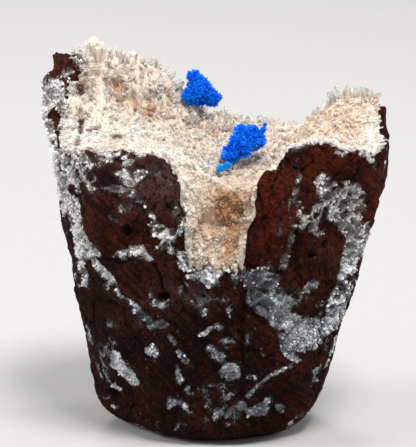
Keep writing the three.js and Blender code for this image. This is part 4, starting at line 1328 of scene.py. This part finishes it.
def seam_crystals():
    """Small blocky crystals all over the zeolite of the rock, wherever it lies deep enough. Each leans a
    little from the direction straight out of the rock."""
    chance = np.random.default_rng(SEEDS["seam crystals"])
    both = zip(wall_sites(chance), corner_sites(chance))
    feet, depth, white, normal = (np.concatenate(pair) for pair in both)
    kept = (depth > chance.uniform(0.1, 0.4, len(depth))) & (white > chance.uniform(0, 0.3, len(depth)))
    feet, white, normal = feet[kept], white[kept], normal[kept]
    count = len(feet)
    along = unit(normal + SEAM_CRYSTAL_LEAN * chance.normal(size=(count, 3)))
    size = chance.uniform(*SEAM_CRYSTAL_SIZES, count) * (1 + 0.4 * noise(feet, 5.0, 51))
    size *= 1 + patches(feet[:, 0], feet[:, 2], BIG_CRYSTALS) * (feet[:, 1] < 0)
    sizes = np.stack([0.8 * size, 0.55 * size, size * chance.uniform(0.6, 1.3, count)], axis=-1)
    sunk = feet - SEAM_CRYSTAL_SUNK * normal
    points, triangles = planted(GRAIN, sunk, along, sizes, chance.uniform(0, math.pi, count))
    white = np.clip(white + 0.25 * noise(feet, 3.0, 52) + 0.22 * chance.normal(size=count), 0, 1)
    new_piece(
        "seam_crystals", points, triangles, ZEOLITE, "basalt_matrix",
        attributes=each_corner(GRAIN, count, white=white),
    )


# ---- stilbite ------------------------------------------------------------------------------------

BED_COLUMNS = 560
BED_ROWS = 150
EDGE_ROWS = 10
UNDER_ROWS = 6
EDGE_BULGE = 0.7
SITE_HALF_WIDTH = 36  # of the rectangle in which places on the crust are tried
SITE_HALF_DEPTH = 26
GRAIN_SIZES = (0.45, 1.0)


def bed_swell(points):
    """Soft swell of the crust's body."""
    return rough_noise(points, 3.2, 3, 67)


def crust_colours(points):
    """How peach-coloured, stained and full of rock chips the crust is. Along the front rim it is white."""
    x, y = points[..., 0], points[..., 1]
    share = np.hypot(x, y) / rim_at(np.arctan2(y, x))[1] + 0.03 * noise(points, 3.0, 75)
    outermost = smooth_step(WHITE_RIM, WHITE_RIM + 0.08, share) * smooth_step(8, 2, y)
    rim = outermost * (1 - hill((x - 1) / 6.5, 0, 3))
    tint = crystal_kind_at(x, y)[3] + 0.35 * rough_noise(points, 5.0, 3, 72) - rim
    front = patches(x, points[..., 2], FRONT_STAINS) * smooth_step(-10, -14, y)
    stain = np.maximum(ovals(x, y, STAINS), front) * (1 + 0.8 * noise(points, 2.5, 73))
    stain += 0.5 * ovals(x, y, SMOOTH_PARTS[:1]) * smooth_step(0.1, -0.7, bed_swell(points))
    chip = smooth_step(0.4, 0.75, ovals(x, y, RIM_CHIPS) + 0.35 * noise(points, 1.4, 74))
    return {"tint": np.clip(tint, 0, 1), "stain": np.clip(stain, 0, 1), "chip": chip}


def bed_facets(points):
    """Height of the bed's packed crystals: two sizes of upright facets over a soft swell. Where the crust is
    smooth, the facets are low and the swell is high."""
    upright = points * [1, 1, 0.5]
    packed = 0.42 * facets(upright, 1.4, 61) + 0.25 * facets(upright, 0.7, 64)
    smooth = ovals(points[..., 0], points[..., 1], SMOOTH_PARTS)
    fine = 0.3 * facets(points, 1.1, 65) + 0.16 * facets(points, 0.6, 66)
    return mix(packed, fine, smooth) + mix(0.35, 0.9, smooth) * bed_swell(points)


def crust_edge(angle, share):
    """Points of the crust's edge, a share of the way up from its underside to its top, bulging out between,
    and the direction that the edge faces there."""
    radius = crust_reach(angle) * rim_at(angle)[1]
    outwards = outwards_at(angle)
    x = radius * np.cos(angle)
    y = radius * np.sin(angle)
    height = mix(rock_height(x, y, angle, crust_reach(angle)) + UNDERSIDE_LIFT, crust_height(x, y), share)
    points = outwards * (radius + EDGE_BULGE * np.sin(math.pi * np.clip(share, 0, 1)))[..., None]
    points[..., 2] = height
    return points, unit(outwards + crust_normal(x, y) * (1.6 * share - 0.5)[..., None])


def stilbite_bed():
    """The crust's body: an underside that follows the rock out from the middle, a bulging edge, and a top of
    packed crystal facets back to the middle."""
    angle = front_bunched(BED_COLUMNS)[None, :]
    under_share = (np.arange(UNDER_ROWS)[:, None] + 1) / (UNDER_ROWS + 1)
    full = np.broadcast_to(angle, (UNDER_ROWS, BED_COLUMNS))
    edge_under, _ = crust_edge(angle, np.zeros(angle.shape))
    under = edge_under * under_share[..., None]
    share = under_share * crust_reach(full)
    under[..., 2] = rock_height(under[..., 0], under[..., 1], full, share) + UNDERSIDE_LIFT
    edge_share = np.arange(EDGE_ROWS)[:, None] / EDGE_ROWS * np.ones(angle.shape)
    edge, facing = crust_edge(np.broadcast_to(angle, edge_share.shape), edge_share)
    over_share = 1 - (np.arange(BED_ROWS)[:, None] / BED_ROWS)
    over = edge_under * over_share[..., None]
    over[..., 2] = crust_height(over[..., 0], over[..., 1])
    facing = np.concatenate([facing, crust_normal(over[..., 0], over[..., 1])])
    shown = np.concatenate([edge, over])
    settled = np.ones(shown.shape[:-1])
    settled[0] = 0
    hollow = CHIP_DEPTH * crust_colours(shown)["chip"]
    shown += facing * (settled * (bed_facets(shown) - BED_SUNK - hollow))[..., None]
    middle = [[0, 0, under[0, 0, 2]], [0, 0, shown[-1, 0, 2]]]
    points = np.concatenate([under.reshape(-1, 3), shown.reshape(-1, 3), middle])
    rows = UNDER_ROWS + EDGE_ROWS + BED_ROWS
    # The bed's low facets take the roots' colour: painted shade in the hollows between them.
    new_piece(
        "stilbite_bed", wandered(points), ring_triangles(rows, BED_COLUMNS), STILBITE_BED,
        "stilbite_crust", attributes=crust_colours(points) | {"rise": 0.5 + 0.5 * bed_facets(points)},
    )


def on_crust(x, y, margin):
    """Whether points lie on the crust, farther from its edge than a share of the rim's radius."""
    angle = np.arctan2(y, x)
    return np.hypot(x, y) / rim_at(angle)[1] < crust_reach(angle) - margin


def crust_sites(chance):
    """Points all over the crust, one in each square of a grid, moved about inside it, three times over. The
    steeper the crust, the more of the three are kept."""
    columns = np.arange(-SITE_HALF_WIDTH, SITE_HALF_WIDTH, SITE_SPACING)
    rows = np.arange(-SITE_HALF_DEPTH, SITE_HALF_DEPTH, SITE_SPACING)
    sites = np.concatenate([np.stack(np.meshgrid(columns, rows), axis=-1).reshape(-1, 2)] * 3)
    sites = sites + chance.uniform(0, SITE_SPACING, sites.shape)
    x, y = sites.T
    steep = 1 / crust_normal(x, y)[..., 2]
    kept = on_crust(x, y, 0) & (chance.uniform(0, 3, len(x)) < steep)
    return x[kept], y[kept]


def crystal_kind_at(x, y):
    """Length, width, thickness and tint of the crystals: the kinds' own values, weighed by their hills."""
    weights = []
    values = []
    for kind_x, kind_y, wide, deep, *value in CRYSTAL_KINDS.values():
        weights.append(hill((x - kind_x) / wide, (y - kind_y) / deep) ** 2 + 1e-6)
        values.append(value)
    weights = np.array(weights)
    weights = weights / weights.sum(axis=0)
    return np.tensordot(np.array(values).T, weights, axes=1)


def clear_of_rosettes(points, margin):
    """True where a point lies outside every ball of the rosettes by a margin."""
    clear = np.ones(len(points), dtype=bool)
    for ball in itertools.chain(*ROSETTES.values()):
        clear &= np.linalg.norm(points - ball[:3], axis=-1) > ball[3] + margin
    return clear


def edge_sites(chance):
    """Points all over the crust's edge and the directions it faces there. The higher the edge is from its
    underside to its top, the more of the points are kept."""
    angle = chance.uniform(-math.pi, math.pi, EDGE_TRIES)
    low, _ = crust_edge(angle, np.zeros(EDGE_TRIES))
    high, _ = crust_edge(angle, np.ones(EDGE_TRIES))
    kept = high[:, 2] - low[:, 2] > chance.uniform(0, EDGE_HEIGHT, EDGE_TRIES)
    return crust_edge(angle[kept], chance.uniform(0.05, 1.0, kept.sum()))


def crystal_sites(chance):
    """Points all over the crust and its edge, the way out of the crust at each, and how many of the points
    lie on the top. Those come first."""
    x, y = crust_sites(chance)
    edge, facing = edge_sites(chance)
    surface = np.concatenate([crust_points(x, y), edge])
    return surface, np.concatenate([crust_normal(x, y), facing]), len(x)


def stilbite_grains():
    """Small blocky crystals packed over the crust where it is smooth, half sunk in it."""
    chance = np.random.default_rng(SEEDS["grains"])
    surface, normal, _ = crystal_sites(chance)
    smooth = ovals(surface[:, 0], surface[:, 1], SMOOTH_PARTS)
    colours = crust_colours(surface)
    cover = GRAIN_COVER * smooth_step(0.2, 0.7, smooth) * (1 - colours["chip"])
    kept = chance.uniform(size=len(surface)) < cover
    surface, normal = surface[kept], normal[kept]
    count = len(surface)
    surface += normal * (bed_facets(surface) - BED_SUNK)[:, None]
    size = chance.uniform(*GRAIN_SIZES, count) * (1 + 0.3 * noise(surface, 4.0, 68))
    along = unit(normal + 0.6 * chance.normal(size=(count, 3)))
    sizes = np.stack([0.85 * size, 0.6 * size, size * chance.uniform(0.7, 1.3, count)], axis=-1)
    feet = wandered(surface) - 0.5 * size[:, None] * along
    points, triangles = planted(GRAIN, feet, along, sizes, chance.uniform(0, math.pi, count))
    tint = np.clip(colours["tint"][kept] + 0.2 * chance.normal(size=count), 0, 1)
    new_piece(
        "stilbite_grains", points, triangles, STILBITE_BED, "stilbite_crust",
        attributes=corner_values(GRAIN, count, tint=tint, stain=colours["stain"][kept], chip=0),
    )


def spray_directions(surface, normal, chance):
    """Directions of blades in sprays that fan out from scattered middles, and a number drawn for each spray.
    A blade leans away from its spray's middle by its distance from it, and one that lies too flat is
    raised."""
    way, _, _, number = grains(surface, SPRAY_PITCH, 71)
    lean = SPRAY_LEAN * way / SPRAY_PITCH * 2 + 0.5 * chance.normal(size=way.shape)
    along = unit(0.8 * normal + lean)
    missing = np.maximum(0, FLATTEST_BLADE - (along * normal).sum(axis=-1))
    return unit(along + normal * missing[:, None]), number


def stilbite_blades():
    """Blades all over the crust and its edge, put into three pieces from left to right."""
    chance = np.random.default_rng(SEEDS["blades"])
    surface, normal, on_top = crystal_sites(chance)
    length, width, thick, _ = crystal_kind_at(surface[:, 0], surface[:, 1])
    density = BLADE_COVER * (SITE_SPACING / (BLADE_SPACING * length)) ** 2
    density[on_top:] = EDGE_COVER
    density *= 1 - smooth_step(0.1, 0.7, ovals(surface[:, 0], surface[:, 1], SMOOTH_PARTS))
    kept = chance.uniform(size=len(surface)) < density
    surface, normal, length, width, thick = (v[kept] for v in (surface, normal, length, width, thick))
    count = len(surface)
    along, number = spray_directions(surface, normal, chance)
    length = length * chance.uniform(0.55, 1.25, count) * mix(0.8, 1.15, number)
    surface += normal * (bed_facets(surface) - CRYSTAL_REACH)[:, None]
    colours = crust_colours(surface)
    surface = wandered(surface)
    feet = surface - BLADE_SUNK * along
    kept = clear_of_rosettes(surface + along * length[:, None], -0.2) & (colours["chip"] < 0.5)
    sizes = np.stack([length * width, length * thick, length + BLADE_SUNK], axis=-1)
    sizes[:, :2] *= chance.uniform(0.7, 1.3, (count, 2))
    spins = 6 * math.pi * number + chance.normal(0, 0.9, count)
    colours["tint"] = np.clip(colours["tint"] + 0.1 * chance.normal(size=count), 0, 1)
    for band, (low, high) in BLADE_BANDS.items():
        chosen = kept & (surface[:, 0] >= low) & (surface[:, 0] < high)
        points, triangles = planted(BLADE, feet[chosen], along[chosen], sizes[chosen], spins[chosen])
        own = {name: value[chosen] for name, value in colours.items()}
        values = corner_values(BLADE, chosen.sum(), **own)
        values["stain"] *= 1 - 0.6 * values["rise"]
        new_piece(
            f"stilbite_blades_{band}", points, triangles, STILBITE, "stilbite_crust",
            attributes=values,
        )


def clear_blades():
    """Clear blades in rows: each stands a drawn share of the way along its row, a little off it."""
    chance = np.random.default_rng(SEEDS["clear blades"])
    feet, lengths = [], []
    for x0, y0, x1, y1, count, length in CLEAR_ROWS.values():
        share = chance.uniform(0, 1, count)
        row = np.stack([mix(x0, x1, share), mix(y0, y1, share)], axis=-1)
        feet.append(row + chance.normal(0, 0.8, (count, 2)))
        lengths.append(length * chance.uniform(0.6, 1.3, count))
    x, y = np.concatenate(feet).T
    length = np.concatenate(lengths)
    normal = crust_normal(x, y)
    surface = crust_points(x, y)
    along = unit(normal + 0.7 * chance.normal(size=normal.shape) + [0, 0, 0.5])
    kept = clear_of_rosettes(surface + along * length[:, None], 0.1) & on_crust(x, y, CLEAR_MARGIN)
    sizes = np.stack([0.6 * length, 0.25 * length, length + CRYSTAL_REACH], axis=-1)
    spins = chance.uniform(0, math.pi, len(x))
    feet = surface - CRYSTAL_REACH * normal
    points, triangles = planted(BLADE, feet[kept], along[kept], sizes[kept], spins[kept])
    new_piece("clear_blades", points, triangles, CLEAR_STILBITE, "stilbite_crust")


def peak_crystal():
    """The blunt bundle on top of the left heap: crystals side by side on a spiral, the outer ones shorter
    and leaning outwards a little."""
    chance = np.random.default_rng(SEEDS["peak"])
    count = PEAK_SHEAF["crystals"]
    share = (np.arange(count) + 0.5) / count
    turn = golden_turns(count)
    away = np.stack([np.cos(turn), np.sin(turn)], axis=-1) * np.sqrt(share)[:, None]
    x, y = ([PEAK_SHEAF["x"], PEAK_SHEAF["y"]] + PEAK_SHEAF["spread"] * away).T
    feet = crust_points(x, y) - [0, 0, BLADE_SUNK]
    along = unit(np.column_stack([PEAK_SHEAF["lean"] * away, np.ones(count)]))
    length = PEAK_SHEAF["length"] * (1 - PEAK_SHEAF["shortening"] * share)
    length = length * chance.uniform(0.92, 1.05, count)
    width = PEAK_SHEAF["width"] * chance.uniform(0.8, 1.1, count)
    sizes = np.stack([width, 0.6 * width, length + BLADE_SUNK], axis=-1)
    points, triangles = planted(BLUNT, feet, along, sizes, turn + chance.normal(0, 0.3, count))
    new_piece(
        "peak_crystal", points, triangles, STILBITE_BED, "stilbite_crust",
        attributes=corner_values(BLUNT, count, tint=PEAK_SHEAF["tint"], stain=0, chip=0),
    )


# ---- cavansite -----------------------------------------------------------------------------------


def sphere_directions(count):
    """Directions spread evenly over a sphere: equal steps of height, each turned by the golden angle."""
    height = 1 - (2 * np.arange(count) + 1) / count
    turn = golden_turns(count)
    out = np.sqrt(1 - height * height)
    return np.stack([out * np.cos(turn), out * np.sin(turn), height], axis=-1)


def rosette(name, balls, seed):
    """A rosette: every ball has one small ball in its middle and others all over it, and needles radiate
    from each of those. A needle that would point into the rosette is left out."""
    chance = np.random.default_rng(seed)
    feet, along, lengths = [], [], []
    for x, y, z, radius in balls:
        lump_count = int(LEAST_LUMPS + LUMPS_PER_RADIUS * radius)
        lumps = unit(sphere_directions(lump_count) + 0.25 * chance.normal(size=(lump_count, 3)))
        small = radius * chance.uniform(*LUMP_SIZES, lump_count)
        centres = np.array([x, y, z]) + lumps * (0.97 * radius - small)[:, None]
        centres = np.concatenate([centres, [[x, y, z]]])
        lumps = np.concatenate([lumps, np.zeros((1, 3))])
        small = np.append(small, MIDDLE_LUMP * radius)
        for centre, lump, reach in zip(centres, lumps, small):
            scatter = 0.2 * chance.normal(size=(LUMP_NEEDLES, 3))
            directions = unit(sphere_directions(LUMP_NEEDLES) + scatter)
            directions = directions[directions @ lump > -0.15]
            feet.append(centre + directions * 0.1 * reach)
            along.append(directions)
            lengths.append(reach * chance.uniform(*NEEDLE_LENGTHS, len(directions)))
    feet, along, length = np.concatenate(feet), np.concatenate(along), np.concatenate(lengths)
    width = np.minimum(NEEDLE_WIDTH * length, WIDEST_NEEDLE) * chance.uniform(0.7, 1.3, len(length))
    sizes = np.stack([width, 0.6 * width, length], axis=-1)
    points, triangles = planted(NEEDLE, feet, along, sizes, chance.uniform(0, math.pi, len(length)))
    new_piece(
        f"{name}_rosette", points, triangles, CAVANSITE, name,
        attributes=corner_values(NEEDLE, len(length), pale=ROSETTE_PALENESS[name]),
    )


# ---- the specimen --------------------------------------------------------------------------------

basalt_block()
seam_crystals()
stilbite_bed()
stilbite_blades()
stilbite_grains()
clear_blades()
peak_crystal()
for number, (name, balls) in enumerate(ROSETTES.items()):
    rosette(name, balls, SEEDS["rosettes"] + number)

# ---- floor, light and camera ---------------------------------------------------------------------

FLOOR_GREY = 0.48
FLOOR_HALF_SIZE = 3.0  # metres
TARGET = np.array([-1.6, 0.0, 41.0])
CAMERA_DISTANCE = 450.0
CAMERA_ELEVATION = 14.0
CAMERA_LENS = 181.0
CAMERA_SENSOR = 36.0
SURROUND_COLOUR = (1.0, 0.995, 0.99)
SURROUND_STRENGTH = 0.42
LIGHT_COLOUR = (1.0, 0.985, 0.96)

# Softboxes: place, side and power in watts.
LIGHTS = {
    "key": ((220, -430, 1180), 380, 15.8),
    "back": ((-300, 900, 800), 400, 5.0),
    "right rim": ((900, 300, 400), 300, 3.0),
    "left rim": ((-900, -100, 500), 300, 5.5),
}


def pale_floor():
    """A wide level floor under the specimen."""
    mesh = bpy.data.meshes.new("floor")
    half = FLOOR_HALF_SIZE
    corners = [(-half, -half, 0), (half, -half, 0), (half, half, 0), (-half, half, 0)]
    mesh.from_pydata(corners, [], [(0, 1, 2, 3)])
    material, tree, shader = new_material("floor", Roughness=0.85)
    tone = use_group(tree, MOTTLE, Broad=4.0, Fine=300.0, Fineness=0.5)
    grey = blend(tree, tone, (FLOOR_GREY * 0.98,) * 3, (FLOOR_GREY * 1.02,) * 3)
    tree.links.new(grey, shader.inputs["Base Color"])
    mesh.materials.append(material)
    new_object("floor", mesh)


def look_at(thing, place, target):
    """Sets an object at a place, in millimetres, with its -Z towards a target."""
    thing.location = Vector(place) * MM
    thing.rotation_euler = (Vector(target) - Vector(place)).to_track_quat("-Z", "Y").to_euler()


def softboxes():
    """Square area lights turned to the specimen."""
    for name, (place, side, power) in LIGHTS.items():
        light = bpy.data.lights.new(name, "AREA")
        light.color = LIGHT_COLOUR
        light.size = side * MM
        light.energy = power
        look_at(new_object(name, light), place, TARGET)


def surroundings():
    """An even, faintly warm light from all round."""
    world = bpy.data.worlds.new("studio")
    world.use_nodes = True
    background = world.node_tree.nodes["Background"]
    background.inputs["Color"].default_value = (*SURROUND_COLOUR, 1.0)
    background.inputs["Strength"].default_value = SURROUND_STRENGTH
    bpy.context.scene.world = world


def camera():
    """A long lens a little above the specimen, in front of it."""
    lens = bpy.data.cameras.new("camera")
    lens.lens = CAMERA_LENS
    lens.sensor_width = CAMERA_SENSOR
    lens.clip_start = 0.01
    view = new_object("camera", lens)
    tilt = math.radians(CAMERA_ELEVATION)
    place = TARGET + CAMERA_DISTANCE * np.array([0, -math.cos(tilt), math.sin(tilt)])
    look_at(view, place, TARGET)
    bpy.context.scene.camera = view


pale_floor()
softboxes()
surroundings()
camera()
bpy.context.scene.view_settings.view_transform = "Standard"
